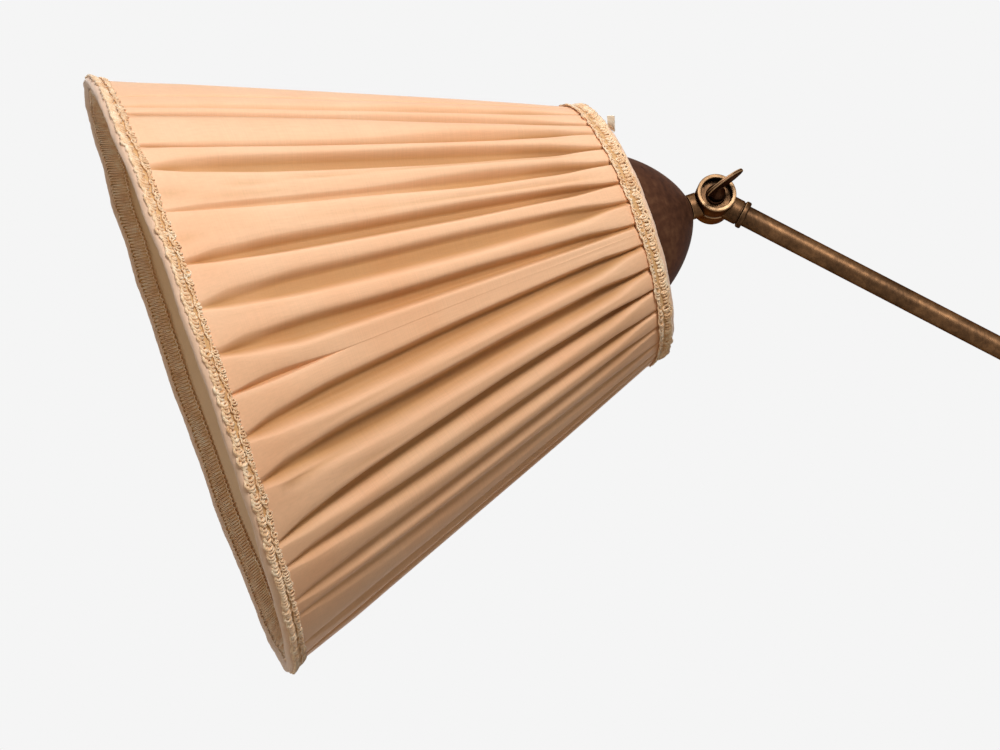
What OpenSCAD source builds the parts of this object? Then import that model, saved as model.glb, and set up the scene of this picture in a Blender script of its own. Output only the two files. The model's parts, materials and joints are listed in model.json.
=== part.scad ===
// Floor lamp with a telescopic column, a long tilting arm and a pleated cloth shade.
// Millimetres. The origin is the middle of the base's underside, +Z is up and the arm points to -X.
// Both tilting joints turn about Y, and their wing keys face -Y.

/* [Base] */
// Radius of the base
base_r = 130; // [110:1:170]
// Thickness of the felt under the base
felt_t = 2; // [1:0.5:4]
// How far the felt stays inside the base's edge
felt_inset = 5; // [2:1:15]
// Height of the upright rim of the base cover
rim_h = 5; // [3:0.5:9]
// Height of the base cover at its shoulder
shoulder_h = 16; // [13:0.5:24]
// Height of the base cover where its centre starts to rise
plateau_h = 21; // [18:0.5:30]
// Height of the seat on top of the base cover
base_h = 37; // [34:1:60]
// Radius of the seat on top of the base cover
seat_r = 18; // [17:0.5:24]
// Radius at which the base cover starts to rise to its seat
rise_r = 62; // [45:1:80]
// Wall of the base cover
shell_wall = 1.2; // [0.8:0.1:2]
// Gap between the cast weight and the cover over it
weight_gap = 1; // [0.5:0.1:3]
// Radius of the recess under the weight for the nut
recess_r = 20; // [18:0.5:28]
// Depth of that recess above the felt
recess_h = 11.4; // [11:0.2:14]

/* [Base fastening] */
// Radius of the threaded pipe that ties the base to the column
pipe_r = 6; // [5:0.25:7]
// Radius of the bore of that pipe
pipe_bore_r = 4; // [2.5:0.25:4.5]
// Width across the flats of its nut
base_nut_af = 22; // [18:1:28]
// Thickness of its nut
base_nut_t = 6; // [4:0.5:8]
// Radius of its washer
base_washer_r = 15; // [12:0.5:19]
// Thickness of its washer
base_washer_t = 1.4; // [1:0.2:2.5]

/* [Cord inlet] */
// Radius of the hole in the cord bush
inlet_r = 3.2; // [2.5:0.1:4]
// Radius of the bush's barrel
inlet_barrel_r = 4.5; // [4.2:0.1:5.5]
// Radius of the bush's flange
inlet_flange_r = 6.2; // [5.8:0.1:7]
// Thickness of the bush's flange
inlet_flange_t = 2; // [1:0.2:3]
// Height of the bush's middle
inlet_h = 9; // [8.4:0.1:9.6]
// Length of the bush's barrel
inlet_len = 12; // [10:0.5:20]

/* [Column] */
// Radius of the lower column tube
column_r = 9; // [8:0.25:12]
// Wall of the lower column tube
column_wall = 1.5; // [1:0.1:2]
// Height of the lower column's upper end
column_top = 703; // [560:1:800]
// Height of the foot collar
foot_h = 42; // [30:1:60]
// Wall of the foot collar round the column, at its neck
foot_wall = 2.5; // [2:0.25:4]
// Length of the plug inside the column's lower end
plug_len = 30; // [20:1:40]

/* [Column collar] */
// Length of the collar below the column's end
collar_low = 19; // [14:1:30]
// Length of the collar above the column's end
collar_high = 21; // [18:1:30]
// Wall of the collar round the column
collar_wall = 3; // [2.5:0.25:5]
// Radius of the boss for the collar's key
collar_boss_r = 5.5; // [5:0.25:7]
// How far that boss reaches from the column's axis
collar_boss_reach = 18; // [16:0.5:22]

/* [Mast] */
// Radius of the sliding upper tube
mast_r = 6.5; // [6:0.25:7]
// Wall of the sliding upper tube
mast_wall = 1.25; // [1:0.05:1.5]
// Height of the mast's lower end as stored
mast_foot = 440; // [410:1:460]
// Length of the guide ring on the mast's lower end
guide_len = 18; // [12:1:30]
// Height of the arm's hinge as stored
mast_hinge_h = 1080; // [1060:1:1250]
// How far below the knuckle the swivel socket begins
turret_neck = 5.7; // [5:0.1:9]
// Length of the swivel socket's bore
swivel_len = 27; // [20:1:40]
// Radius of the swivel journal
journal_r = 5; // [4.5:0.1:5.5]
// Wall of the swivel socket
socket_wall = 3.2; // [2.6:0.1:4.5]
// How far the socket sleeves the mast
socket_sleeve = 9; // [6:0.5:14]
// Radius of the grub screw that keeps the journal in
grub_r = 1.5; // [1.25:0.05:2]

/* [Knuckles] */
// Radius of a knuckle
knuckle_r = 9.3; // [8.4:0.1:12]
// Depth of each knuckle half, from the joint's mid-plane
half_depth = 9.5; // [9:0.25:12]
// Thickness of the friction washer between two halves
friction_t = 0.8; // [0.6:0.1:1.6]
// Radius of the recess in the front half
cup_r = 7.3; // [6.8:0.1:8]
// Depth of that recess
cup_depth = 4; // [3:0.25:5]
// Radius of the stub that carries a tube
stub_r = 6; // [5.8:0.1:7]
// How far a stub stands out of its knuckle
stub_out = 7.8; // [5.5:0.1:12]
// Radius of the lip at the stub's end
lip_r = 6.7; // [6.3:0.1:8]
// Width of that lip
lip_w = 2.5; // [1.5:0.1:3.5]
// Gap between a stub and the other half's drum
drum_gap = 0.4; // [0.3:0.1:0.8]
// Rounding of a drum's edges
drum_edge = 0.6; // [0.3:0.1:1]
// Width across the flats of the captive nut
captive_af = 9; // [8:0.5:10]
// Thickness of the captive nut
captive_t = 3; // [2:0.25:4]

/* [Wing keys] */
// Radius of a key's screw
key_screw_r = 2.5; // [2:0.1:3]
// Radius of a key's hub
key_hub_r = 4; // [3.5:0.1:4.8]
// Length of a key's hub
key_hub_len = 5; // [4:0.25:7]
// Radius of the collar at the hub's foot
key_foot_r = 4.7; // [4.2:0.1:5.5]
// Half the length of the key's flat tab
tab_half_len = 10.5; // [8:0.25:14]
// Half the width of the key's flat tab
tab_half_w = 6; // [5:0.25:8]
// Thickness of the key's flat tab
tab_t = 2; // [1.4:0.1:3]
// How far the tab's middle stands to one side of the screw
tab_offset = 2.6; // [0:0.1:4]
// How far the tab's middle stands in front of the hub's foot
tab_reach = 13.5; // [12:0.25:16]
// Turn of the head key, anticlockwise from the horizontal
head_key_turn = 36.6; // [-90:0.1:90]
// Turn of the arm key, anticlockwise from the horizontal
arm_key_turn = 118; // [-180:1:180]
// Turn of the collar key, anticlockwise from the horizontal
collar_key_turn = 75; // [-180:1:180]

/* [Arm] */
// Length of the arm from hinge to hinge
arm_len = 420; // [300:1:520]
// Rise of the arm above the horizontal, as stored
arm_rise = 27.5; // [0:0.5:40]
// Radius of the arm tube
arm_r = 5; // [4:0.1:5.2]
// Wall of the arm tube
arm_wall = 1; // [0.8:0.1:1.5]

/* [Head] */
// Dip of the shade's axis below the horizontal, as stored
shade_dip = 21; // [0:0.5:40]
// Gap between the head's knuckle and the cap's apex
cap_gap = 2.5; // [1.5:0.1:5]
// Length of the cap
cap_len = 44; // [36:0.5:50]
// Radius of the cap's mouth
cap_r = 40.4; // [34:0.2:46]
// Power of the cap's oval profile
cap_power = 1.6; // [1.3:0.05:2.2]
// Wall of the cap
cap_wall = 1; // [0.8:0.1:1.6]
// Radius of the threaded spigot that carries the cap
spigot_r = 5; // [4.5:0.1:5]
// Radius of the spigot's bore
spigot_bore_r = 3.5; // [2.5:0.1:3.7]
// Radius of the washer inside the cap
cap_washer_r = 9; // [8:0.5:12]
// Width across the flats of the nut inside the cap
cap_nut_af = 14; // [13:0.5:17]
// Thickness of the nut inside the cap
cap_nut_t = 4; // [3:0.5:5]

/* [Lampholder] */
// Distance from the cap's apex to the holder's top
holder_drop = 10.6; // [10.4:0.2:14]
// Radius of the holder
holder_r = 19.5; // [18:0.25:21]
// Length of the holder's domed top
holder_top_len = 14; // [12:0.5:18]
// Wall of the holder
holder_wall = 2; // [1.5:0.1:2.5]
// Radius of the flange that the shade hangs against
flange_r = 24; // [22:0.5:27]
// Thickness of that flange
flange_t = 2; // [1.5:0.1:3]
// Length of the holder's skirt beyond the flange
skirt_len = 15; // [13:0.5:20]
// Radius of the threaded skirt
skirt_r = 19.8; // [19:0.1:20.4]
// Radius of the clamp ring
clamp_r = 26; // [24:0.5:28]
// Width of the clamp ring
clamp_w = 7; // [5:0.5:9]
// Thickness of the ceramic insert
insert_t = 6; // [4:0.5:8]

/* [Bulb] */
// Radius of the bulb's screw cap
bulb_cap_r = 13; // [12.8:0.1:13.2]
// Length of the bulb's screw cap
bulb_cap_len = 24; // [22:0.5:27]
// Radius of the bulb's glass
bulb_r = 30; // [22:0.5:32]
// Length of the bulb from its tip contact to its glass end
bulb_len = 105; // [95:1:115]
// Thickness of the bulb's glass
glass_t = 1; // [0.6:0.1:1.5]

/* [Shade frame] */
// Distance from the top ring's plane to the bottom ring's
shade_height = 207; // [170:1:250]
// Gap between the cap's mouth and the fitting ring
fitter_gap = 3.2; // [2.8:0.1:6]
// How far the spokes rise from the fitting ring to the top ring
spider_rise = 9.6; // [7:0.1:11]
// Radius of the rings' wire
ring_wire_r = 1.5; // [1:0.1:2]
// Radius of the ribs' wire
rib_wire_r = 1.25; // [1:0.05:1.5]
// Number of ribs
ribs = 6; // [6:1:7]
// Number of spokes
spokes = 3; // [3:1:4]
// Radius of the spokes' wire
spoke_wire_r = 1.2; // [0.9:0.1:1.4]
// Radius of the fitting ring's edge
fitter_r = 29; // [28:0.5:31]
// Thickness of the fitting ring
fitter_t = 1.2; // [1:0.1:2]

/* [Shade cloth] */
// Radius of the pleats' crests at the top ring
shade_top_r = 60.8; // [58:0.2:74]
// Radius of the pleats' crests at the bottom ring
shade_bottom_r = 138.9; // [110:0.2:170]
// Number of pleats
pleats = 42; // [42:42:84]
// Depth of the pleats half way down
pleat_depth = 5; // [3:0.25:5.5]
// Depth of the pleats at the top ring
pleat_top_depth = 0.8; // [0.3:0.1:1]
// Depth of the pleats at the bottom ring
pleat_bottom_depth = 0.3; // [0.2:0.1:0.8]
// Share of a pleat's width that its flat crest takes
pleat_crest = 0.56; // [0.5:0.02:0.6]
// Turn of the pleats and the ribs under them, from the top towards the front
cloth_turn = 30; // [0:0.5:60]
// Thickness of the pleated cloth
cloth_t = 1; // [0.7:0.1:1.2]
// Thickness of the lining
lining_t = 0.6; // [0.4:0.1:1]

/* [Shade trims] */
// Width of the braid round the top
top_braid_w = 5.5; // [4:0.25:8]
// Width of the braid round the bottom
bottom_braid_w = 5; // [4:0.25:8]
// Width of the braid inside the mouth
inner_braid_w = 7; // [4:0.25:9]
// Thickness of the braids
braid_t = 1.3; // [0.8:0.1:1.6]
// Radius of the roll that binds the bottom edge
bottom_roll_r = 3.4; // [3.2:0.1:4]
// Radius of the roll that binds the top edge
top_roll_r = 3.2; // [3:0.1:3.8]
// Width of the loose end of binding tape behind the top ring
tape_w = 4; // [3:0.5:6]
// How far that end stands out of the ring
tape_out = 4.5; // [2:0.5:6]
// Thickness of that end
tape_t = 0.8; // [0.5:0.1:1.2]
// Place of that end round the ring, from the top towards the front
tape_turn = 56; // [0:1:90]

/* [Clearances] */
// Radial clearance of a part that turns or slides in another
run_gap = 0.05; // [0.02:0.01:0.09]
// Radial clearance of a fixed part in its bore
fix_gap = 0.05; // [0.02:0.01:0.1]
// Gap between two faces that are held together
face_gap = 0.1; // [0.05:0.05:0.2]
// Gap between cloth or trim and what carries it
cloth_gap = 0.2; // [0.1:0.05:0.3]

/* [Hidden] */
$fn = 96;
cut = 1; // how far a cutting shape runs past what it cuts

brass = [0.42, 0.33, 0.23];
dark_brass = [0.27, 0.19, 0.14];
steel = [0.62, 0.62, 0.60];
peach = [0.97, 0.80, 0.66];
cream = [0.90, 0.77, 0.62];

// ---- Places ----
arm_turn = arm_rise - 90;          // turns +Z onto the line from the mast's hinge to the head's
head_turn = -90 - shade_dip;       // turns +Z onto the shade's axis
head_x = -arm_len * cos(arm_rise);
head_h = mast_hinge_h + arm_len * sin(arm_rise);
lap_gap = friction_t / 2 + face_gap; // from the joint's mid-plane to each half's inner face

module at_mast_hinge() translate([0, 0, mast_hinge_h]) children();
module at_head_hinge() translate([head_x, 0, head_h]) children();
// +Z runs along the arm, from its heel to its wrist
module along_arm() at_mast_hinge() rotate([0, arm_turn, 0]) children();
// +Z runs along the shade's axis, away from the hinge
module along_head() at_head_hinge() rotate([0, head_turn, 0]) children();
// +Z points to the front, towards -Y
module to_front() rotate([90, 0, 0]) children();
// +Z points to the back, towards +Y
module to_back() rotate([-90, 0, 0]) children();

// ---- Shapes that repeat ----
function points_reversed(p) = [for (i = [len(p) - 1 : -1 : 0]) p[i]];
function side_of(p, i) =
    let (a = p[max(i - 1, 0)], b = p[min(i + 1, len(p) - 1)], t = b - a) [t[1], -t[0]] / norm(t);
// the same line of points, moved sideways by d
function moved_in(p, d) = [for (i = [0 : len(p) - 1]) p[i] - d * side_of(p, i)];
function ease(t) = (1 - cos(180 * t)) / 2;

// a turned piece with its two edges rounded off
module turned_disc(r, h, edge) rotate_extrude()
    polygon([[0, 0], [r - edge, 0], [r - 0.3 * edge, 0.3 * edge], [r, edge],
             [r, h - edge], [r - 0.3 * edge, h - 0.3 * edge], [r - edge, h], [0, h]]);
module tube(r, wall, h) difference() {
    cylinder(r = r, h = h);
    translate([0, 0, -cut]) cylinder(r = r - wall, h = h + 2 * cut);
}
module washer(r, hole_r, t) difference() {
    cylinder(r = r, h = t);
    translate([0, 0, -cut]) cylinder(r = hole_r, h = t + 2 * cut);
}
module hex_nut(af, hole_r, t) difference() {
    cylinder(r = af / 2 / cos(30), h = t, $fn = 6);
    translate([0, 0, -cut]) cylinder(r = hole_r, h = t + 2 * cut);
}
// a ring of round wire about +Z, its middle in the plane z = 0
module wire_ring(r, wire_r) rotate_extrude() translate([r, 0]) circle(r = wire_r, $fn = 32);

// ---- Base ----
bush_face = base_r - 2.5; // where the cord bush's flange seats, from the lamp's axis
weight_r = base_r - 15;
cover_line = concat(
    [[base_r, felt_t / 2], [base_r, felt_t / 2 + rim_h * 0.7],
     [base_r - 0.8, rim_h], [base_r - 2.5, rim_h + 0.9]],
    [for (i = [0 : 6]) let (t = i / 6)
        [base_r - 3.6 - 8 * t, rim_h + 1.4 + (shoulder_h - rim_h - 1.4) * sin(90 * t)]],
    [for (i = [1 : 4]) let (t = i / 4)
        [base_r - 11.6 - (base_r - 11.6 - rise_r) * t, shoulder_h + (plateau_h - shoulder_h) * t]],
    [for (i = [1 : 12]) let (t = i / 12)
        [rise_r - (rise_r - seat_r - 2) * (1 - pow(1 - t, 1.5)),
         plateau_h + (base_h - 1 - plateau_h) * ease(t)]],
    [[seat_r, base_h]]);
weight_line = [
    [pipe_r + fix_gap, felt_t + face_gap], [weight_r, felt_t + face_gap],
    [weight_r, shoulder_h - shell_wall - weight_gap],
    [rise_r, plateau_h - shell_wall - weight_gap - 0.5],
    [seat_r - 2, plateau_h - shell_wall - weight_gap],
    [seat_r - 2, base_h - shell_wall - face_gap], [pipe_r + fix_gap, base_h - shell_wall - face_gap]];
pipe_foot = felt_t + 1.5;
washer_top = felt_t + recess_h - face_gap;
nut_top = washer_top - base_washer_t - face_gap;
foot_floor = base_h + face_gap;
column_foot = foot_floor + 9; // the column stands on a step inside the foot collar

module base_felt() color([0.20, 0.16, 0.13]) cylinder(r = base_r - felt_inset, h = felt_t);

module base_weight() color([0.18, 0.18, 0.19]) difference() {
    rotate_extrude() polygon(weight_line);
    translate([0, 0, felt_t - cut]) cylinder(r = recess_r, h = recess_h + cut);
    // the channel that the cord runs in, from the recess to the inlet
    translate([0, -inlet_barrel_r - 0.5, felt_t - cut])
        cube([base_r, 2 * inlet_barrel_r + 1, inlet_h + inlet_barrel_r + 0.4 - felt_t + cut]);
}

module base_cover() color(dark_brass) difference() {
    rotate_extrude() polygon(concat(
        cover_line, [[pipe_r + fix_gap, base_h], [pipe_r + fix_gap, base_h - shell_wall]],
        points_reversed(moved_in(cover_line, shell_wall))));
    translate([bush_face - inlet_len, 0, inlet_h]) rotate([0, 90, 0])
        cylinder(r = inlet_barrel_r + fix_gap, h = 2 * inlet_len);
}

module base_pipe() color(steel)
    translate([0, 0, pipe_foot]) tube(pipe_r, pipe_r - pipe_bore_r, column_foot + plug_len - 2 - pipe_foot);

module base_washer() color(steel)
    translate([0, 0, washer_top - base_washer_t]) washer(base_washer_r, pipe_r + fix_gap, base_washer_t);

module base_nut() color(steel)
    translate([0, 0, nut_top - base_nut_t]) hex_nut(base_nut_af, pipe_r + fix_gap, base_nut_t);

module cord_bush() color([0.10, 0.08, 0.07])
    translate([bush_face, 0, inlet_h]) rotate([0, 90, 0]) difference() {
        union() {
            translate([0, 0, -inlet_len + inlet_flange_t]) cylinder(r = inlet_barrel_r, h = inlet_len);
            // the cover slopes back above its rim, so the flange stands just outside the rim
            translate([0, 0, base_r - bush_face + face_gap])
                turned_disc(inlet_flange_r, inlet_flange_t, 0.5);
            cylinder(r = inlet_barrel_r, h = base_r - bush_face + inlet_flange_t);
        }
        translate([0, 0, -inlet_len - cut]) cylinder(r = inlet_r, h = 2 * inlet_len + 4 * cut);
    }

module foot_collar() color(brass) {
    neck_r = column_r + foot_wall;
    translate([0, 0, foot_floor]) difference() {
        rotate_extrude() polygon(concat(
            [[0, 0], [seat_r - 0.6, 0], [seat_r, 0.6], [seat_r, 3], [seat_r - 1, 4], [seat_r - 1.6, 4.6]],
            [for (i = [0 : 8]) let (t = i / 8)
                [neck_r + (seat_r - 2 - neck_r) * (1 - sin(90 * t)), 5.2 + (foot_h - 13) * t]],
            [for (i = [0 : 6]) let (t = i / 6)
                [neck_r + 1.6 * sin(180 * t), foot_h - 7 + 4 * t]],
            [[neck_r - 0.5, foot_h - 2], [neck_r - 1, foot_h], [0, foot_h]]));
        translate([0, 0, column_foot - foot_floor]) cylinder(r = column_r + fix_gap, h = foot_h);
        translate([0, 0, -cut]) cylinder(r = pipe_r + fix_gap, h = foot_h);
    }
}

// ---- Column ----
module column_plug() color(steel) translate([0, 0, column_foot + face_gap])
    washer(column_r - column_wall - fix_gap, pipe_r + fix_gap, plug_len);

module lower_column() color(brass)
    translate([0, 0, column_foot]) tube(column_r, column_wall, column_top - column_foot);

collar_r = column_r + collar_wall;
collar_key_h = column_top + collar_high / 2 + 0.5;
bush_r = mast_r + run_gap + 1.2; // outside of the bush that the mast slides in
key_hole_r = key_screw_r + run_gap;

module column_collar() color(brass) difference() {
    len = collar_low + collar_high;
    union() {
        translate([0, 0, column_top - collar_low]) rotate_extrude() polygon([
            [0, 0], [collar_r - 1.2, 0], [collar_r + 0.8, 1], [collar_r + 1.4, 2.4],
            [collar_r + 0.8, 3.8], [collar_r, 4.6], [collar_r, len - 5.6], [collar_r + 0.8, len - 4.8],
            [collar_r + 1.2, len - 3.6], [collar_r + 0.6, len - 2.4], [collar_r - 1.5, len - 1],
            [mast_r + 2.6, len], [0, len]]);
        translate([0, 0, collar_key_h]) to_front() turned_disc(collar_boss_r, collar_boss_reach, 0.6);
    }
    translate([0, 0, column_top - collar_low - cut])
        cylinder(r = column_r + fix_gap, h = collar_low + face_gap + cut);
    translate([0, 0, column_top]) cylinder(r = bush_r + fix_gap, h = collar_high + cut);
    translate([0, 0, collar_key_h]) to_front() cylinder(r = key_hole_r, h = collar_boss_reach + cut);
    translate([0, 0, column_top - collar_low / 2]) rotate([0, 90, 0])
        cylinder(r = grub_r + fix_gap, h = collar_r + 3);
}

module collar_bush() color([0.75, 0.66, 0.50]) difference() {
    translate([0, 0, column_top + face_gap]) washer(bush_r, mast_r + run_gap, collar_high - 2 * face_gap);
    translate([0, 0, collar_key_h]) to_front() cylinder(r = key_hole_r, h = collar_boss_reach);
}

module collar_grub() color(steel) translate([column_r + face_gap, 0, column_top - collar_low / 2])
    rotate([0, 90, 0]) cylinder(r = grub_r, h = collar_wall + 0.6);

// ---- Mast ----
swivel_drop = knuckle_r + turret_neck; // from the hinge to the socket's top
socket_top = mast_hinge_h - swivel_drop;
socket_floor = socket_top - swivel_len;
mast_top = socket_floor - 1; // the mast ends against a thin web in the socket
socket_r = journal_r + socket_wall;
grub_h = socket_floor + 10;

module upper_column() color(brass)
    translate([0, 0, mast_foot]) tube(mast_r, mast_wall, mast_top - mast_foot);

module guide_ring() color([0.75, 0.66, 0.50]) translate([0, 0, mast_foot])
    washer(column_r - column_wall - run_gap, mast_r + fix_gap, guide_len);

module swivel_socket() color(brass) difference() {
    translate([0, 0, mast_top - socket_sleeve]) {
        len = socket_sleeve + 1 + swivel_len;
        rotate_extrude() polygon([
            [0, 0], [socket_r - 0.8, 0], [socket_r, 0.8], [socket_r, socket_sleeve - 1],
            [socket_r + 1, socket_sleeve - 0.2], [socket_r + 1.3, socket_sleeve + 1.2],
            [socket_r + 1, socket_sleeve + 2.6], [socket_r, socket_sleeve + 3.4],
            [socket_r, len - 3], [socket_r + 0.9, len - 2.2], [socket_r + 0.9, len - 0.8],
            [socket_r + 0.2, len], [0, len]]);
    }
    translate([0, 0, mast_top - socket_sleeve - cut])
        cylinder(r = mast_r + fix_gap, h = socket_sleeve + cut + face_gap);
    translate([0, 0, mast_top - cut]) cylinder(r = journal_r - 1, h = swivel_len);
    translate([0, 0, socket_floor]) cylinder(r = journal_r + run_gap, h = swivel_len + cut);
    translate([0, 0, grub_h]) rotate([0, 90, 0]) cylinder(r = grub_r + fix_gap, h = socket_r + 3);
}

module swivel_grub() color(steel) translate([journal_r - 0.5, 0, grub_h])
    rotate([0, 90, 0]) cylinder(r = grub_r, h = socket_wall + 0.7);

// ---- Knuckles ----
recess_floor = half_depth - cup_depth; // of the front half, from the joint's mid-plane
neck_gap_r = knuckle_r + drum_gap; // nothing of one half reaches nearer to the other half's axis
stub_reach = knuckle_r + stub_out;  // from the hinge to the stub's end

// the drum of one half, from its lap face outwards, with +Z pointing outwards
module half_drum() translate([0, 0, lap_gap]) turned_disc(knuckle_r, half_depth - lap_gap, drum_edge);

// a front half: a cup with a stub along +Z, which holds a tube of radius tube_r
module front_half(tube_r) difference() {
    union() {
        to_front() half_drum();
        // the stub, with a fine groove before its lip
        difference() {
            rotate_extrude() polygon([
                [0, 0], [stub_r, 0], [stub_r, stub_reach - lip_w - 1],
                [stub_r - 0.35, stub_reach - lip_w - 0.8], [stub_r - 0.35, stub_reach - lip_w - 0.4],
                [stub_r + 0.2, stub_reach - lip_w],
                [lip_r, stub_reach - lip_w + 0.5], [lip_r, stub_reach - 0.5], [lip_r - 0.5, stub_reach],
                [0, stub_reach]]);
            to_back() translate([0, 0, -lap_gap]) cylinder(r = neck_gap_r, h = 2 * half_depth);
        }
    }
    to_front() translate([0, 0, recess_floor]) cylinder(r = cup_r, h = cup_depth + cut);
    to_front() cylinder(r = key_hole_r, h = half_depth);
    translate([0, 0, neck_gap_r + 0.6]) cylinder(r = tube_r + fix_gap, h = stub_reach);
}

// a rear half: a drum whose back takes the captive nut, with a neck along +Z as far as neck_to
module rear_half(neck_r, neck_to) difference() {
    union() {
        to_back() half_drum();
        difference() {
            cylinder(r = neck_r, h = neck_to);
            to_front() translate([0, 0, -lap_gap]) cylinder(r = neck_gap_r, h = 2 * half_depth);
        }
    }
    to_back() cylinder(r = key_hole_r, h = 2 * half_depth);
    to_back() translate([0, 0, half_depth - captive_t - 1])
        cylinder(r = captive_af / 2 / cos(30) + fix_gap, h = 2 * captive_t + cut, $fn = 6);
}

module captive_nut() to_back() translate([0, 0, half_depth - captive_t - 1 + face_gap])
    hex_nut(captive_af, key_hole_r, captive_t);

module friction_washer() to_back() translate([0, 0, -friction_t / 2])
    washer(knuckle_r - 0.3, key_hole_r, friction_t);

// a wing key: +Z points out of the knuckle, z = 0 is its foot, and the tab lies along x
module wing_key(screw_len) {
    points = 40; // round the tab's oval
    translate([0, 0, -screw_len]) cylinder(r = key_screw_r, h = screw_len + 0.5);
    turned_disc(key_foot_r, 1.2, 0.3);
    cylinder(r = key_hub_r, h = key_hub_len);
    translate([0, 0, key_hub_len])
        cylinder(r1 = key_hub_r, r2 = tab_t, h = tab_reach - tab_half_w / 2 - key_hub_len);
    rotate([90, 0, 0]) linear_extrude(tab_t, center = true) polygon([for (i = [0 : points - 1])
        let (turn = 360 * i / points)
        [tab_offset + tab_half_len * cos(turn), tab_reach + tab_half_w * sin(turn)]]);
}
key_reach_in = recess_floor + face_gap + half_depth - 1.2; // length of a knuckle key's screw

module knuckle_key(turn) to_front() translate([0, 0, recess_floor + face_gap])
    rotate([0, 0, turn]) wing_key(key_reach_in);

module collar_key() color(brass) translate([0, 0, collar_key_h]) to_front()
    translate([0, 0, collar_boss_reach + face_gap]) rotate([0, 0, collar_key_turn])
        wing_key(collar_boss_reach - mast_r);

module arm_key() color(brass) at_mast_hinge() knuckle_key(arm_key_turn);
module head_key() color(brass) at_head_hinge() knuckle_key(head_key_turn);

// the turret turns in the swivel socket, and its groove takes the grub screw's tip
module turret() color(brass) at_mast_hinge() difference() {
    rotate([0, 180, 0]) union() {
        rear_half(stub_r, swivel_drop - 3);
        translate([0, 0, swivel_drop - 3.5]) turned_disc(socket_r, 3.5 - face_gap, 0.5);
        translate([0, 0, swivel_drop - cut]) cylinder(r = journal_r, h = swivel_len - 1 + cut);
    }
    translate([0, 0, grub_h - mast_hinge_h - grub_r - 0.3]) difference() {
        cylinder(r = journal_r + cut, h = 2 * grub_r + 0.6);
        translate([0, 0, -cut]) cylinder(r = journal_r - 0.9, h = 4 * grub_r);
    }
}
module arm_nut() color(steel) at_mast_hinge() captive_nut();
module arm_friction_washer() color([0.12, 0.10, 0.09]) at_mast_hinge() friction_washer();

// ---- Arm ----
tube_from = neck_gap_r + 0.6 + face_gap; // the arm tube's end, from a hinge

module arm_heel() color(brass) along_arm() front_half(arm_r);
module arm_tube() color(brass) along_arm()
    translate([0, 0, tube_from]) tube(arm_r, arm_wall, arm_len - 2 * tube_from);
module arm_wrist() color(brass) along_arm()
    translate([0, 0, arm_len]) rotate([180, 0, 0]) mirror([0, 1, 0]) front_half(arm_r);
module head_friction_washer() color([0.12, 0.10, 0.09]) at_head_hinge() friction_washer();

// ---- Head ----
cap_at = knuckle_r + cap_gap;
// how far the cap's profile lies past its apex at radius r
function cap_drop(r, full_r, full_len) = full_len * (1 - pow(1 - pow(r / full_r, cap_power), 1 / cap_power));
shoulder_at = cap_at + cap_drop(spigot_r + fix_gap, cap_r, cap_len) - face_gap;
cap_inside_r = cap_r - cap_wall;
cap_inside_len = cap_len - cap_wall;
cap_washer_at = cap_at + cap_wall + cap_drop(cap_washer_r, cap_inside_r, cap_inside_len) + face_gap;
cap_washer_t = 1.2;
cap_nut_at = cap_washer_at + cap_washer_t + face_gap;
holder_at = cap_at + holder_drop;
spigot_end = holder_at + 8;

module head_knuckle() color(brass) at_head_hinge() rotate([0, head_turn, 0]) difference() {
    union() {
        rear_half(stub_r, shoulder_at);
        translate([0, 0, shoulder_at - cut]) cylinder(r = spigot_r, h = spigot_end - shoulder_at + cut);
    }
    translate([0, 0, neck_gap_r + 1]) cylinder(r = spigot_bore_r, h = spigot_end);
}
module head_nut() color(steel) at_head_hinge() rotate([0, head_turn, 0]) captive_nut();

module cap() color(dark_brass) along_head() {
    steps = 24;
    hole = spigot_r + fix_gap;
    line = [for (i = [0 : steps]) let (r = hole + (cap_r - hole) * sin(90 * i / steps))
        [r, cap_at + cap_drop(r, cap_r, cap_len)]];
    inside = [for (i = [0 : steps]) let (r = hole + (cap_inside_r - hole) * sin(90 * i / steps))
        [r, cap_at + cap_wall + cap_drop(r, cap_inside_r, cap_inside_len)]];
    rotate_extrude() polygon(concat(line, points_reversed(inside)));
}
module cap_washer() color(steel) along_head()
    translate([0, 0, cap_washer_at]) washer(cap_washer_r, spigot_r + fix_gap, cap_washer_t);
module cap_nut() color(steel) along_head()
    translate([0, 0, cap_nut_at])
        hex_nut(cap_nut_af, spigot_r + fix_gap, min(cap_nut_t, holder_at - cap_nut_at - face_gap));

// ---- Lampholder ----
holder_joint = holder_at + holder_top_len;
fitter_at = cap_at + cap_len + fitter_gap; // the shade's fitting ring lies clear of the cap's mouth
flange_at = fitter_at - flange_t - face_gap;
skirt_end = fitter_at + skirt_len;
insert_at = holder_joint + 1;
contact_at = insert_at + insert_t;
bulb_tip_at = contact_at + 1.6;
sleeve_r = bulb_cap_r + 0.5; // bore of the brass sleeve that the bulb screws into
sleeve_t = 0.6;
sleeve_end = skirt_end - 1;

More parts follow.
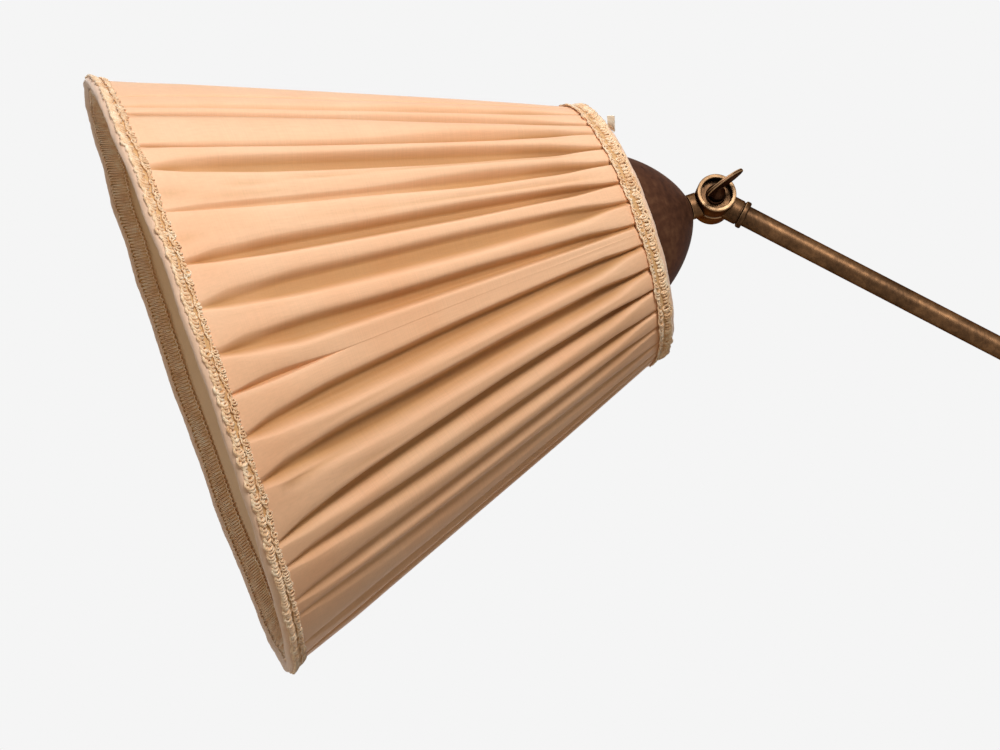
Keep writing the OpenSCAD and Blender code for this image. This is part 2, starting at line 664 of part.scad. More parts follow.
module holder_top() color([0.16, 0.11, 0.09]) along_head() translate([0, 0, holder_at]) difference() {
    line = [[0, 0], [spigot_r + 3, 0], [spigot_r + 5, 0.6], [holder_r - 6, 2.2], [holder_r - 2.4, 4.8],
            [holder_r - 0.6, 8], [holder_r, holder_top_len - 2], [holder_r, holder_top_len - face_gap]];
    rotate_extrude() polygon(concat(line, [[0, holder_top_len - face_gap]]));
    translate([0, 0, -cut]) cylinder(r = spigot_r + fix_gap, h = holder_top_len);
    translate([0, 0, 8]) cylinder(r1 = holder_r - 8, r2 = holder_r - holder_wall, h = 3);
    translate([0, 0, 11]) cylinder(r = holder_r - holder_wall, h = holder_top_len);
}
module holder_body() color([0.16, 0.11, 0.09]) along_head() difference() {
    rotate_extrude() polygon([
        [0, holder_joint], [holder_r, holder_joint], [holder_r, flange_at], [flange_r - 0.4, flange_at],
        [flange_r, flange_at + 0.4], [flange_r, flange_at + flange_t], [skirt_r, flange_at + flange_t],
        [skirt_r, skirt_end - 0.8], [skirt_r - 0.8, skirt_end], [0, skirt_end]]);
    translate([0, 0, holder_joint - cut]) cylinder(r = holder_r - holder_wall, h = insert_t + 1 + cut);
    translate([0, 0, holder_joint])
        cylinder(r = sleeve_r + sleeve_t + fix_gap, h = skirt_end - holder_joint + cut);
}
module holder_insert() color([0.92, 0.90, 0.85]) along_head()
    translate([0, 0, insert_at]) cylinder(r = holder_r - holder_wall - fix_gap, h = insert_t - face_gap);
module holder_sleeve() color([0.80, 0.66, 0.36]) along_head()
    translate([0, 0, contact_at]) tube(sleeve_r + sleeve_t, sleeve_t, sleeve_end - contact_at);
module holder_contact() color([0.80, 0.66, 0.36]) along_head() translate([0, 0, contact_at]) {
    translate([-7, -2, 0]) cube([14, 4, 0.5]);
    cylinder(r = 2.5, h = bulb_tip_at - contact_at - face_gap);
}
module clamp_ring() color([0.16, 0.11, 0.09]) along_head()
    translate([0, 0, fitter_at + fitter_t + face_gap]) difference() {
        turned_disc(clamp_r, clamp_w, 0.8);
        translate([0, 0, -cut]) cylinder(r = skirt_r + fix_gap, h = clamp_w + 2 * cut);
        translate([0, 0, 2]) cylinder(r = clamp_r - 2, h = clamp_w);
    }

// ---- Bulb ----
glass_at = bulb_tip_at + bulb_cap_len; // where the glass leaves the screw cap
glass_middle = bulb_tip_at + bulb_len - bulb_r;
module bulb_cap() color([0.78, 0.78, 0.76]) along_head() translate([0, 0, bulb_tip_at]) {
    pitch = 2.6; // of the rings that stand for its thread
    end = bulb_cap_len - face_gap;
    rotate_extrude() polygon(concat(
        [[0, 0], [4.5, 0], [5.5, 1.2], [9.5, 3], [bulb_cap_r - 1.2, 4]],
        [for (i = [0 : 5]) each [
            [bulb_cap_r - 1, 4.6 + pitch * i], [bulb_cap_r, 5.6 + pitch * i],
            [bulb_cap_r - 0.1, 6.6 + pitch * i]]],
        [[bulb_cap_r - 0.8, bulb_cap_len - 2.4], [bulb_cap_r - 0.4, end], [0, end]]));
}
module bulb_glass() color([0.98, 0.97, 0.93]) along_head() {
    neck_r = bulb_cap_r - 0.6;
    low = 48; // angle at which the round part meets the neck's curve, from the axis
    join_r = bulb_r * sin(low);
    join_at = glass_middle - bulb_r * cos(low);
    line = concat(
        [for (i = [0 : 10]) let (t = i / 10)
            [neck_r + (join_r - neck_r) * (0.45 * t + 0.55 * t * t), glass_at + (join_at - glass_at) * t]],
        [for (i = [1 : 20]) let (a = 180 - low - (180 - low) * i / 20)
            [max(bulb_r * sin(a), 0), glass_middle + bulb_r * cos(a)]]);
    inside = [for (p = line)
        [max(p[0] - glass_t, 0), p[1] - glass_t * max(p[1] - glass_middle, 0) / bulb_r]];
    rotate_extrude() polygon(concat(line, points_reversed(inside)));
}

// ---- Shade frame ----
frame_top_at = fitter_at + fitter_t / 2 - spider_rise;
frame_bottom_at = frame_top_at + shade_height;
shade_slope = (shade_bottom_r - shade_top_r) / (frame_bottom_at - frame_top_at);
shade_angle = atan(shade_slope);
// radius of the pleats' crests at a distance from the hinge
function crest_r(at) = shade_top_r + shade_slope * (at - frame_top_at);
ring_in = (ring_wire_r + cloth_gap) / cos(shade_angle) + cloth_t; // from the crests to a ring's middle
top_ring_r = crest_r(frame_top_at) - pleat_top_depth - ring_in;
bottom_ring_r = crest_r(frame_bottom_at) - pleat_bottom_depth - ring_in;
spoke_rise_r = top_ring_r - 5.5; // where a spoke turns up towards the top ring
rib_in = (rib_wire_r + cloth_gap) / cos(shade_angle) + cloth_t + 0.1;
module each_spoke() for (i = [0 : spokes - 1]) rotate([0, 0, 360 / spokes * (i + 0.5)]) children();

module spoke(wire_r) {
    spoke_at = fitter_at + fitter_t / 2;
    rise = [top_ring_r - spoke_rise_r, frame_top_at - spoke_at];
    translate([fitter_r - 2 * spoke_wire_r, 0, spoke_at]) rotate([0, 90, 0])
        cylinder(r = wire_r, h = spoke_rise_r - fitter_r + 2 * spoke_wire_r, $fn = 24);
    translate([spoke_rise_r, 0, spoke_at]) sphere(r = wire_r + 0.25, $fn = 24);
    translate([spoke_rise_r, 0, spoke_at]) rotate([0, atan2(rise[0], rise[1]), 0])
        cylinder(r = wire_r, h = norm(rise), $fn = 24);
}
module shade_spider() color([0.45, 0.38, 0.28]) along_head() {
    translate([0, 0, fitter_at]) washer(fitter_r, skirt_r + 0.4, fitter_t);
    each_spoke() spoke(spoke_wire_r);
    translate([0, 0, frame_top_at]) wire_ring(top_ring_r, ring_wire_r);
}
module shade_ribs() color([0.85, 0.80, 0.70]) along_head() for (i = [0 : ribs - 1])
    rotate([0, 0, 360 / ribs * i - cloth_turn]) {
        from = frame_top_at + ring_wire_r + rib_wire_r + 0.6;
        to = frame_bottom_at - ring_wire_r - rib_wire_r - 0.6;
        translate([crest_r(from) - rib_in, 0, from]) rotate([0, shade_angle, 0])
            cylinder(r = rib_wire_r, h = (to - from) / cos(shade_angle), $fn = 24);
    }
module shade_bottom_ring() color([0.85, 0.80, 0.70]) along_head()
    translate([0, 0, frame_bottom_at]) wire_ring(bottom_ring_r, ring_wire_r);

// ---- Shade cloth ----
// The cover is a cone of flat crests with narrow valleys between them. A rib lies under a crest's middle.
cover_from = frame_top_at - 0.6;
cover_to = frame_bottom_at + 0.6;
cover_rows = [0, 0.22, 0.6, 1];
row_depth = [pleat_top_depth, pleat_depth * 0.75, pleat_depth, pleat_bottom_depth];
pleat_at = [0, (1 - pleat_crest) / 2, (1 + pleat_crest) / 2]; // a valley and the two edges of a crest
around = 3 * pleats;
function cloth_point(row, k, inward) =
    let (at = cover_from + (cover_to - cover_from) * cover_rows[row],
         turn = 360 / pleats * (floor(k / 3) + 0.5 + pleat_at[k % 3]) - cloth_turn,
         r = crest_r(at) - (k % 3 == 0 ? row_depth[row] : 0) - inward)
    [r * cos(turn), r * sin(turn), at];
cloth_points = [for (inward = [0, cloth_t]) for (row = [0 : 3]) for (k = [0 : around - 1])
    cloth_point(row, k, inward)];
// two triangles between row a and row b at step k; flip turns their faces round
function band(a, b, k, flip) = let (n = (k + 1) % around,
    p = a * around + k, q = a * around + n, s = b * around + n, t = b * around + k)
    flip ? [[p, s, q], [p, t, s]] : [[p, q, s], [p, s, t]];
cloth_faces = [for (k = [0 : around - 1]) each concat(
    band(0, 1, k, true), band(1, 2, k, true), band(2, 3, k, true),
    band(4, 5, k, false), band(5, 6, k, false), band(6, 7, k, false),
    band(0, 4, k, false), band(3, 7, k, true))];

module shade_cover() color(peach) along_head() polyhedron(cloth_points, cloth_faces, convexity = 10);

lining_in = pleat_depth + cloth_t + 2 * cloth_gap; // from the crests to the lining, away from its ends
top_lining_in = pleat_top_depth + ring_in + (ring_wire_r + cloth_gap) / cos(shade_angle);
bottom_lining_in = pleat_bottom_depth + ring_in + (ring_wire_r + cloth_gap) / cos(shade_angle);
lining_line = [
    [crest_r(cover_from) - top_lining_in, cover_from],
    [crest_r(frame_top_at + 10) - max(lining_in, top_lining_in), frame_top_at + 10],
    [crest_r(frame_bottom_at - 14) - lining_in, frame_bottom_at - 14],
    [crest_r(cover_to) - bottom_lining_in, cover_to]];

module shade_lining() color(cream) along_head() difference() {
    rotate_extrude() polygon(concat(lining_line, [for (p = points_reversed(lining_line)) p - [lining_t, 0]]));
    each_spoke() spoke(spoke_wire_r + cloth_gap);
}

// ---- Shade trims ----
binding_cut = 0.8; // a binding starts this far outside its ring's plane, clear of the cloth's end
roll_shift = 0.7;  // how far outside that plane the middle of its roll lies
// a roll round a ring's edge, cut off where the cloth ends; side is 1 at the bottom and -1 at the top
module binding(ring_r, ring_at, roll_r, roll_middle, side)
    translate([0, 0, ring_at]) rotate_extrude() difference() {
        translate([roll_middle, side * roll_shift]) circle(r = roll_r, $fn = 48);
        translate([ring_r, 0]) circle(r = ring_wire_r + 2 * cloth_gap, $fn = 48);
        // all that lies on the cloth's side of the cut
        translate([0, side > 0 ? binding_cut - 4 * roll_r : -binding_cut]) square([2 * ring_r, 4 * roll_r]);
    }
// a flat braid that follows the cone between two distances; out is its inner face, from the crests
module braid(from, to, out) rotate_extrude() polygon([
    [crest_r(from) + out, from], [crest_r(to) + out, to],
    [crest_r(to) + out + braid_t, to], [crest_r(from) + out + braid_t, from]]);

module top_binding() color(cream) along_head()
    binding(top_ring_r, frame_top_at, top_roll_r, crest_r(frame_top_at) + 0.2 - top_roll_r, -1);
module bottom_binding() color(cream) along_head()
    binding(bottom_ring_r, frame_bottom_at, bottom_roll_r, crest_r(frame_bottom_at) + 2.4 - bottom_roll_r, 1);
module top_braid() color(cream) along_head()
    braid(frame_top_at, frame_top_at + top_braid_w, cloth_gap);
module bottom_braid() color(cream) along_head()
    braid(cover_to - bottom_braid_w, cover_to, cloth_gap);
// radius of the lining's inner face at its flared end by the mouth
function mouth_lining_r(at) = lining_line[3][0] - lining_t
    - (lining_line[3][0] - lining_line[2][0]) * (cover_to - at) / (cover_to - lining_line[2][1]);
module inner_braid() color(cream) along_head() {
    from = frame_bottom_at - inner_braid_w;
    outer = [mouth_lining_r(from) - cloth_gap, mouth_lining_r(frame_bottom_at) - cloth_gap];
    rotate_extrude() polygon([
        [outer[0], from], [outer[1], frame_bottom_at],
        [outer[1] - braid_t, frame_bottom_at], [outer[0] - braid_t, from]]);
}
module tape_end() color([0.97, 0.90, 0.80]) along_head() rotate([0, 0, -tape_turn]) {
    root = crest_r(frame_top_at) - top_roll_r; // it is sewn to the back of the roll's middle
    translate([root, -tape_w / 2, frame_top_at - roll_shift - top_roll_r - tape_t - face_gap])
        cube([crest_r(frame_top_at) + tape_out - root, tape_w, tape_t]);
}

// ---- The lamp ----
base_felt();
base_weight();
base_cover();
base_pipe();
base_washer();
base_nut();
cord_bush();
foot_collar();
column_plug();
lower_column();
column_collar();
collar_bush();
collar_grub();
collar_key();
upper_column();
guide_ring();
swivel_socket();
swivel_grub();
turret();
arm_nut();
arm_friction_washer();
arm_key();
arm_heel();
arm_tube();
arm_wrist();
head_friction_washer();
head_key();
head_knuckle();
head_nut();
cap();
cap_washer();
cap_nut();
holder_top();
holder_body();
holder_insert();
holder_sleeve();
holder_contact();
clamp_ring();
bulb_cap();
bulb_glass();
shade_spider();
shade_ribs();
shade_bottom_ring();
shade_cover();
shade_lining();
top_binding();
top_braid();
bottom_braid();
bottom_binding();
inner_braid();
tape_end();
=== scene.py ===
import json
import math
import random

import bmesh
import bpy
from mathutils import Matrix, Vector, noise


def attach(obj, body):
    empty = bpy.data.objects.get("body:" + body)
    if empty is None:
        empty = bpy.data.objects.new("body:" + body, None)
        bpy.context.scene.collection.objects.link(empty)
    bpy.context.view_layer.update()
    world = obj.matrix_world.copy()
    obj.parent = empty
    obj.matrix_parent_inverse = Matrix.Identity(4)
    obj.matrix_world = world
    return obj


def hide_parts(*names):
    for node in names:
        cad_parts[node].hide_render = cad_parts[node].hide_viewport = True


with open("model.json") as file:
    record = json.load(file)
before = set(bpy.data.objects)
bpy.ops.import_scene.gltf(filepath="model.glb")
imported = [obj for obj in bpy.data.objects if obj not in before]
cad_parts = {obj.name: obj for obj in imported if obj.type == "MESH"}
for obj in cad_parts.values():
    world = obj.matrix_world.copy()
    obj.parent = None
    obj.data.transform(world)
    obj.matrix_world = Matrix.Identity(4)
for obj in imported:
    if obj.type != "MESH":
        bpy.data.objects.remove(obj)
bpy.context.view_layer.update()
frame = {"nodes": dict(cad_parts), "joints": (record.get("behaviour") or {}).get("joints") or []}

# ---- Camera ----
# The lamp's head is seen from a metre away and a little from below, through a long lens. The camera is
# placed from the hinge of the head's knuckle.
joint_at = {joint["name"]: Vector(joint["pos_m"]) for joint in frame["joints"] if "pos_m" in joint}
head_hinge = joint_at["head_tilt"]
hinge_to_camera = Vector((-0.1901, -1.0490, -0.3913))
camera_rise, camera_turn = math.radians(106.054), math.radians(-4.871)
bpy.ops.object.camera_add(location=head_hinge + hinge_to_camera, rotation=(camera_rise, 0, camera_turn))
camera = bpy.context.object
camera.data.sensor_width = 36
camera.data.lens = 86.4
bpy.context.scene.camera = camera

# ---- Felt under the base ----
# A disc of pressed brown felt, cut a little smaller than the base. It is glued under the cast weight and
# keeps the lamp from scratching the floor.
mm = 0.001


def alone(*pieces):
    """Nothing is selected but these pieces, and the last of them is the active one."""
    bpy.ops.object.select_all(action="DESELECT")
    for piece in pieces:
        piece.select_set(True)
        bpy.context.view_layer.objects.active = piece


def named(name):
    """Gives the piece that was just added its name."""
    piece = bpy.context.object
    piece.name = piece.data.name = name
    return piece


def closed(piece, filled=False):
    """Joins a piece's meeting edges, fills its open ends if asked to, and turns its faces outwards."""
    alone(piece)
    bpy.ops.object.mode_set(mode="EDIT")
    bpy.ops.mesh.select_all(action="SELECT")
    bpy.ops.mesh.remove_doubles(threshold=0.001 * mm)
    if filled:
        bpy.ops.mesh.fill_holes(sides=0)
    bpy.ops.mesh.normals_make_consistent(inside=False)
    bpy.ops.object.mode_set(mode="OBJECT")
    return piece


def turned(name, outline, segments=96, ends="ring"):
    """A piece turned about Z from a list of (radius, height). Its ends meet in a ring, are filled or open."""
    alone()
    radius, height = outline[0]
    bpy.ops.mesh.primitive_circle_add(vertices=segments, radius=radius, location=(0, 0, height))
    piece = named(name)
    bpy.ops.object.transform_apply(location=True)
    bpy.ops.object.mode_set(mode="EDIT")
    bpy.ops.mesh.select_all(action="SELECT")
    for next_radius, next_height in outline[1:] + (outline[:1] if ends == "ring" else []):
        bpy.ops.mesh.extrude_edges_move(TRANSFORM_OT_translate={"value": (0, 0, next_height - height)})
        scale = next_radius / radius
        bpy.ops.transform.resize(value=(scale, scale, 1), center_override=(0, 0, next_height))
        radius, height = next_radius, next_height
    bpy.ops.object.mode_set(mode="OBJECT")
    return closed(piece, ends == "filled")


def with_modifier(piece, kind, **settings):
    """Adds a modifier to a piece and applies it. The piece gets room for two finishes first."""
    alone(piece)
    while len(piece.data.materials) < 2:
        piece.data.materials.append(None)
    modifier = piece.modifiers.new(kind.lower(), kind)
    for setting, value in settings.items():
        setattr(modifier, setting, value)
    bpy.ops.object.modifier_apply(modifier=modifier.name)
    return piece


def rounded(piece, width, angle=32):
    """Rounds a piece's outward corners, and gives them its second finish, which hands have rubbed."""
    shape = bmesh.new()
    shape.from_mesh(piece.data)
    least = math.radians(angle)
    corners = [edge.is_manifold and edge.calc_face_angle_signed(0) > least for edge in shape.edges]
    shape.free()
    piece.data.attributes.new("bevel_weight_edge", "FLOAT", "EDGE").data.foreach_set("value", corners)
    return with_modifier(piece, "BEVEL", width=width, segments=3, limit_method="WEIGHT", material=1)


def smooth(piece, angle=32):
    """Shades a piece smooth between its sharp edges."""
    alone(piece)
    bpy.ops.object.shade_smooth_by_angle(angle=math.radians(angle))
    with_modifier(piece, "WEIGHTED_NORMAL", keep_sharp=True)
    return piece


def placed(piece, matrix):
    """Moves a piece that was made at the origin to its place, and keeps that place in its mesh."""
    alone(piece)
    piece.matrix_world = matrix @ piece.matrix_world
    bpy.ops.object.transform_apply(location=True, rotation=True, scale=True)
    return piece


class Value:
    """A number that changes over a surface. Arithmetic on it adds Math nodes to its tree."""

    def __init__(self, tree, socket):
        self.tree, self.socket = tree, socket

    def __add__(self, other):
        return self.tree.maths("ADD", self, other)

    def __mul__(self, other):
        return self.tree.maths("MULTIPLY", self, other)

    __radd__, __rmul__ = __add__, __mul__


class Tree:
    """Shader nodes that are added one by one."""

    def __init__(self, owner):
        owner.use_nodes = True
        self.nodes, self.links = owner.node_tree.nodes, owner.node_tree.links

    def feed(self, socket, value):
        """Links a socket to a value that changes, or sets it to one that doesn't."""
        if isinstance(value, Value):
            self.links.new(value.socket, socket)
        else:
            socket.default_value = value

    def node(self, kind, settings=None, inputs=None, out=0):
        """Adds a node: first its settings and a ramp's stops, then its inputs. It returns one output."""
        node = self.nodes.new("ShaderNode" + kind)
        for setting, value in (settings or {}).items():
            if setting == "stops":
                ramp = node.color_ramp
                while len(ramp.elements) < len(value):
                    ramp.elements.new(1)
                for element, (position, shade) in zip(ramp.elements, value):
                    element.position = position
                    element.color = shade if hasattr(shade, "__len__") else (shade, shade, shade, 1)
            else:
                setattr(node, setting, value)
        for name, value in (inputs or {}).items():
            self.feed(node.inputs[name], value)
        return Value(self, node.outputs[out])

    def maths(self, operation, *values):
        """Works a value out from others with a Math node."""
        return self.node("Math", {"operation": operation}, dict(enumerate(values)))


class Finish(Tree):
    """A material, and the record's slot that it stands for."""

    def __init__(self, name, slot, **plain):
        self.material = bpy.data.materials.new(name)
        super().__init__(self.material)
        self.surface = self.nodes["Principled BSDF"]
        self.slot = slot
        self.shade(**plain)

    def shade(self, **inputs):
        """Sets the surface's inputs, whose names are written with _ for a space."""
        for name, value in inputs.items():
            self.feed(self.surface.inputs[name.replace("_", " ")], value)

    def grain(self, size, detail=2, stretch=(1, 1, 1), turn=(0, 0, 0)):
        """Soft noise from 0 to 1, with lumps about as big as size."""
        place = self.node("Mapping", None, {
            "Vector": self.node("TexCoord", None, None, "Object"), "Rotation": turn,
            "Scale": [1 / (size * longer) for longer in stretch]})
        return self.node("TexNoise", None, {"Vector": place, "Scale": 1, "Detail": detail}, "Fac")

    def ramp(self, value, *stops):
        """Reads a value through a ramp of (place, colour or number) stops."""
        return self.node("ValToRGB", {"stops": stops}, {"Fac": value}, "Color")

    def mix(self, factor, first, second, blend="MIX"):
        """Mixes two colours, which a Mix node takes at its inputs 6 and 7 and gives at its output 2."""
        settings = {"data_type": "RGBA", "blend_type": blend}
        return self.node("Mix", settings, {0: factor, 6: first, 7: second}, 2)

    def bump(self, height, distance, strength=1):
        """Turns a height from 0 to 1 into relief that is distance deep."""
        inputs = {"Strength": strength, "Distance": distance, "Height": height}
        self.shade(Normal=self.node("Bump", None, inputs))


def colour(red, green, blue):
    """A colour as it looks on screen, from 0 to 255, for a node."""
    return tuple((c / 255 / 12.92) if c < 10 else ((c / 255 + 0.055) / 1.055) ** 2.4
                 for c in (red, green, blue)) + (1,)


def done(piece, body, finishes, *nodes):
    """Gives a finished piece its materials, its body and the CAD nodes that it stands for."""
    finishes = finishes if isinstance(finishes, (list, tuple)) else [finishes]
    kept = [polygon.material_index for polygon in piece.data.polygons]
    piece.data.materials.clear()
    for finish in finishes:
        piece.data.materials.append(finish.material)
    piece.data.polygons.foreach_set("material_index", [min(k, len(finishes) - 1) for k in kept])
    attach(piece, body)
    if nodes:
        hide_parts(*nodes)
    return piece


felt_cloth = Finish("pressed_felt", "felt", Roughness=0.95, Specular_IOR_Level=0.1)
fibres = felt_cloth.grain(0.9 * mm, 5)
felt_cloth.shade(Base_Color=felt_cloth.mix(
    felt_cloth.ramp(fibres * 0.6 + felt_cloth.grain(9 * mm) * 0.4, (0.3, 0), (0.7, 1)),
    colour(50, 39, 31), colour(84, 68, 55)))
felt_cloth.bump(fibres, 0.6 * mm)

felt_r, felt_t, frayed = 125 * mm, 2 * mm, 0.002
felt = turned("felt_disc", [(felt_r - 0.5 * mm, 0), (felt_r, 0.5 * mm), (felt_r, felt_t - 0.4 * mm),
                            (felt_r - 0.4 * mm, felt_t)], segments=128, ends="filled")
smooth(felt, 50)
for vertex in felt.data.vertices:
    if vertex.co.xy.length > felt_r - 0.2 * mm:
        vertex.co.xy *= 1 + frayed * noise.noise(vertex.co * 160)
done(felt, "stand", felt_cloth, "base_felt")

# ---- Base: cast weight and its pressed cover ----
# A grey iron casting that keeps the lamp standing, with a browned brass cover pressed over it. The cover
# rises in a smooth sweep to the column's seat, and has a hole in its edge for the cord's bush.


def cad_finish(finish, *nodes):
    """Gives CAD nodes that keep their own shape a finish."""
    for node in nodes:
        piece = frame["nodes"][node]
        piece.data.materials.clear()
        piece.data.materials.append(finish.material)


def grained(name, slot, size, detail, dark, light, depth=0, gloss=(), stretch=(1, 1, 1), **plain):
    """A finish whose colour and relief follow one grain. gloss is how much its roughness changes with the
    grain, and the least roughness."""
    finish = Finish(name, slot, **plain)
    grain = finish.grain(size, detail, stretch)
    finish.shade(Base_Color=finish.mix(grain, colour(*dark), colour(*light)))
    if gloss:
        finish.shade(Roughness=grain * gloss[0] + gloss[1])
    if depth:
        finish.bump(grain, depth)
    return finish


cast_iron = grained("cast_iron", "iron", 1.6 * mm, 6, (52, 50, 50), (84, 80, 77), 0.3 * mm, (0.3, 0.5),
                    Metallic=0.6)
cad_finish(cast_iron, "base_weight")


brown_film = (0.3, 0.24, 0.18, 1)     # the tint that the film leaves in the brass's grazing gloss


def patina(name, slot, bright, middle, dark, gloss):
    """Brass that was browned with acid and handled since: cloudy, darker in spots, with fine rubbing."""
    finish = Finish(name, slot, Metallic=1, Specular_Tint=brown_film)
    clouds = finish.grain(22 * mm, 4)
    spots = finish.grain(2.6 * mm, 5)
    rubbing = finish.grain(0.8 * mm, 3, (1, 1, 9), turn=(0.3, 0.8, 0.2))
    shade = clouds * 0.55 + spots * 0.3 + rubbing * 0.15
    stops = (0.34, colour(*dark)), (0.5, colour(*middle)), (0.68, colour(*bright))
    finish.shade(Base_Color=finish.ramp(shade, *stops),
                 Roughness=finish.ramp(shade, (0.3, gloss + 0.16), (0.7, gloss)))
    finish.bump(spots * 0.6 + rubbing * 0.4, 0.05 * mm, 0.6)
    return finish


dark_brass = patina("dark_browned_brass", "dark_brass", (94, 64, 46), (70, 46, 33), (46, 30, 22), 0.36)
brown_brass = patina("browned_brass", "patinated_brass", (120, 88, 60), (86, 62, 42), (50, 36, 25), 0.36)
worn_brass = patina("rubbed_brass_edge", "patinated_brass",
                    (176, 145, 110), (148, 118, 87), (108, 82, 58), 0.42)
handled_brass = [brown_brass, worn_brass]

base_r, rim_h, shoulder_h, plateau_h, base_h = (size * mm for size in (130, 5, 16, 21, 37))
rise_r, seat_r, pipe_r, shell_wall = (size * mm for size in (62, 18, 6.05, 1.2))
inlet_h, inlet_r = 9 * mm, 4.6 * mm


def swept(count, point, first=0):
    """A stretch of outline: point(t) for equal steps of t up to 1, from 0 or from a later step."""
    return [point(step / count) for step in range(first, count + 1)]


cover_line = [(base_r, 1 * mm), (base_r, 4.2 * mm), (base_r - 0.4 * mm, 4.8 * mm),
              (base_r - 1.2 * mm, 5.3 * mm), (base_r - 2.5 * mm, rim_h + 0.9 * mm)]
cover_line += swept(16, lambda t: (
    base_r - 3.6 * mm - 8 * mm * t,
    rim_h + 1.4 * mm + (shoulder_h - rim_h - 1.4 * mm) * math.sin(math.pi / 2 * t)))
cover_line += swept(4, lambda t: (
    base_r - 11.6 * mm - (base_r - 11.6 * mm - rise_r) * t, shoulder_h + (plateau_h - shoulder_h) * t), 1)
cover_line += swept(24, lambda t: (
    rise_r - (rise_r - seat_r - 2 * mm) * (1 - (1 - t) ** 1.5),
    plateau_h + (base_h - 1 * mm - plateau_h) * (1 - math.cos(math.pi * t)) / 2), 1)
cover_line += [(seat_r + 0.6 * mm, base_h - 0.3 * mm), (seat_r, base_h), (pipe_r, base_h)]
base_cover = turned("base_cover_shell", cover_line, segments=160, ends="open")
with_modifier(base_cover, "SOLIDIFY", thickness=shell_wall, offset=-1, use_even_offset=True)


def cut(piece, tool, operation="DIFFERENCE"):
    """Cuts a tool's shape out of a piece, or joins it on, and removes the tool."""
    with_modifier(piece, "BOOLEAN", object=tool, operation=operation, solver="EXACT")
    bpy.data.objects.remove(tool)
    return piece


def rod(name, radius, low, high, segments=48):
    """A plain rod along Z between two heights, as a tool for a hole or a core for a piece."""
    alone()
    bpy.ops.mesh.primitive_cylinder_add(vertices=segments, radius=radius, depth=high - low,
                                        location=(0, 0, (low + high) / 2))
    piece = named(name)
    bpy.ops.object.transform_apply(location=True)
    return piece


def raised(height):
    """Moves a piece up."""
    return Matrix.Translation((0, 0, height))


to_side = Matrix.Rotation(math.pi / 2, 4, "Y")     # +Z to +X
to_front = Matrix.Rotation(math.pi / 2, 4, "X")    # +Z to -Y
to_back = Matrix.Rotation(-math.pi / 2, 4, "X")    # +Z to +Y
inlet_hole = rod("hole", inlet_r, base_r - 20 * mm, base_r + 10 * mm)
cut(base_cover, placed(inlet_hole, raised(inlet_h) @ to_side))
smooth(base_cover, 35)
done(base_cover, "stand", dark_brass, "base_cover")

# ---- Cord inlet ----
# A moulded rubber bush that is pushed into the hole in the base's edge, with a flange outside. It would
# keep a cord from chafing, and no cord is in it.
moulded = grained("moulded_rubber", "rubber", 0.7 * mm, 4, (38, 33, 30), (56, 50, 46), 0.04 * mm, (0.25, 0.4))
bush_face, bush_r, bush_hole, bush_body_r = base_r + 0.1 * mm, 6.2 * mm, 3.2 * mm, inlet_r - 0.1 * mm
bush = turned("cord_inlet_bush", [
    (bush_hole, bush_face - 12.6 * mm), (bush_body_r, bush_face - 12.6 * mm), (bush_body_r, bush_face),
    (bush_r, bush_face), (bush_r, bush_face + 1 * mm), (bush_r - 0.9 * mm, bush_face + 2 * mm),
    (bush_hole + 0.7 * mm, bush_face + 2 * mm), (bush_hole, bush_face + 1.3 * mm)], 64)
smooth(placed(rounded(bush, 0.15 * mm), raised(inlet_h) @ to_side))
done(bush, "stand", moulded, "cord_bush")

# ---- Base fastening ----
# Zinc-plated steel: the threaded pipe that ties the base to the column, and its washer and nut under the
# casting. The nuts and grub screws higher up, and the column's plug, have the same plating.
zinc = grained("zinc_plate", "steel", 1.2 * mm, 4, (158, 156, 148), (196, 194, 186), 0.02 * mm, (0.3, 0.22),
               Metallic=1)
cad_finish(zinc, "base_pipe", "base_washer", "base_nut", "column_plug", "collar_grub", "swivel_grub",
           "arm_nut", "head_nut", "cap_washer", "cap_nut")

# ---- Foot collar ----
# A turned brass collar that is screwed on the pipe and seats on the base. It draws in to a neck with a
# bead, and the column stands in it.


def bead(radius, out, low, length, count=8, first=0):
    """A half-round bead, which stands out from radius by out."""
    return swept(count, lambda t: (radius + out * math.sin(math.pi * t), low + length * t), first)


foot_at, foot_h, foot_neck_r, column_r = base_h + 0.1 * mm, 42 * mm, 11.5 * mm, 9 * mm
column_foot = foot_at + 9 * mm
foot_line = [(pipe_r, 0), (17.4 * mm, 0), (seat_r, 0.6 * mm), (seat_r, 3 * mm), (17.6 * mm, 3.5 * mm),
             (17 * mm, 4 * mm), (16.4 * mm, 4.6 * mm)]
foot_line += swept(16, lambda t: (
    foot_neck_r + (16 * mm - foot_neck_r) * (1 - math.sin(math.pi / 2 * t)),
    5.2 * mm + (foot_h - 13 * mm) * t))
foot_line += bead(foot_neck_r, 1.6 * mm, foot_h - 7 * mm, 4 * mm, 12, 1)
foot_line += [(foot_neck_r - 0.5 * mm, foot_h - 2 * mm), (foot_neck_r - 1 * mm, foot_h),
              (column_r + 0.05 * mm, foot_h), (column_r + 0.05 * mm, 9 * mm), (pipe_r, 9 * mm)]
foot = placed(turned("foot_collar_turned", foot_line), raised(foot_at))
done(smooth(rounded(foot, 0.15 * mm)), "stand", handled_brass, "foot_collar")

# ---- Lower column ----
# A drawn brass tube, browned like the rest and rubbed bright at its cut ends. It stands in the foot collar
# and holds the mast.


def tube(name, radius, wall, low, high):
    """A drawn tube along Z between two heights, with its cut ends softened."""
    line = [(radius - wall, low), (radius, low), (radius, high), (radius - wall, high)]
    return smooth(rounded(turned(name, line, 96), 0.25 * mm))


column_top = 703 * mm
lower_tube = tube("lower_column_tube", column_r, 1.5 * mm, column_foot, column_top)
done(lower_tube, "stand", handled_brass, "lower_column")

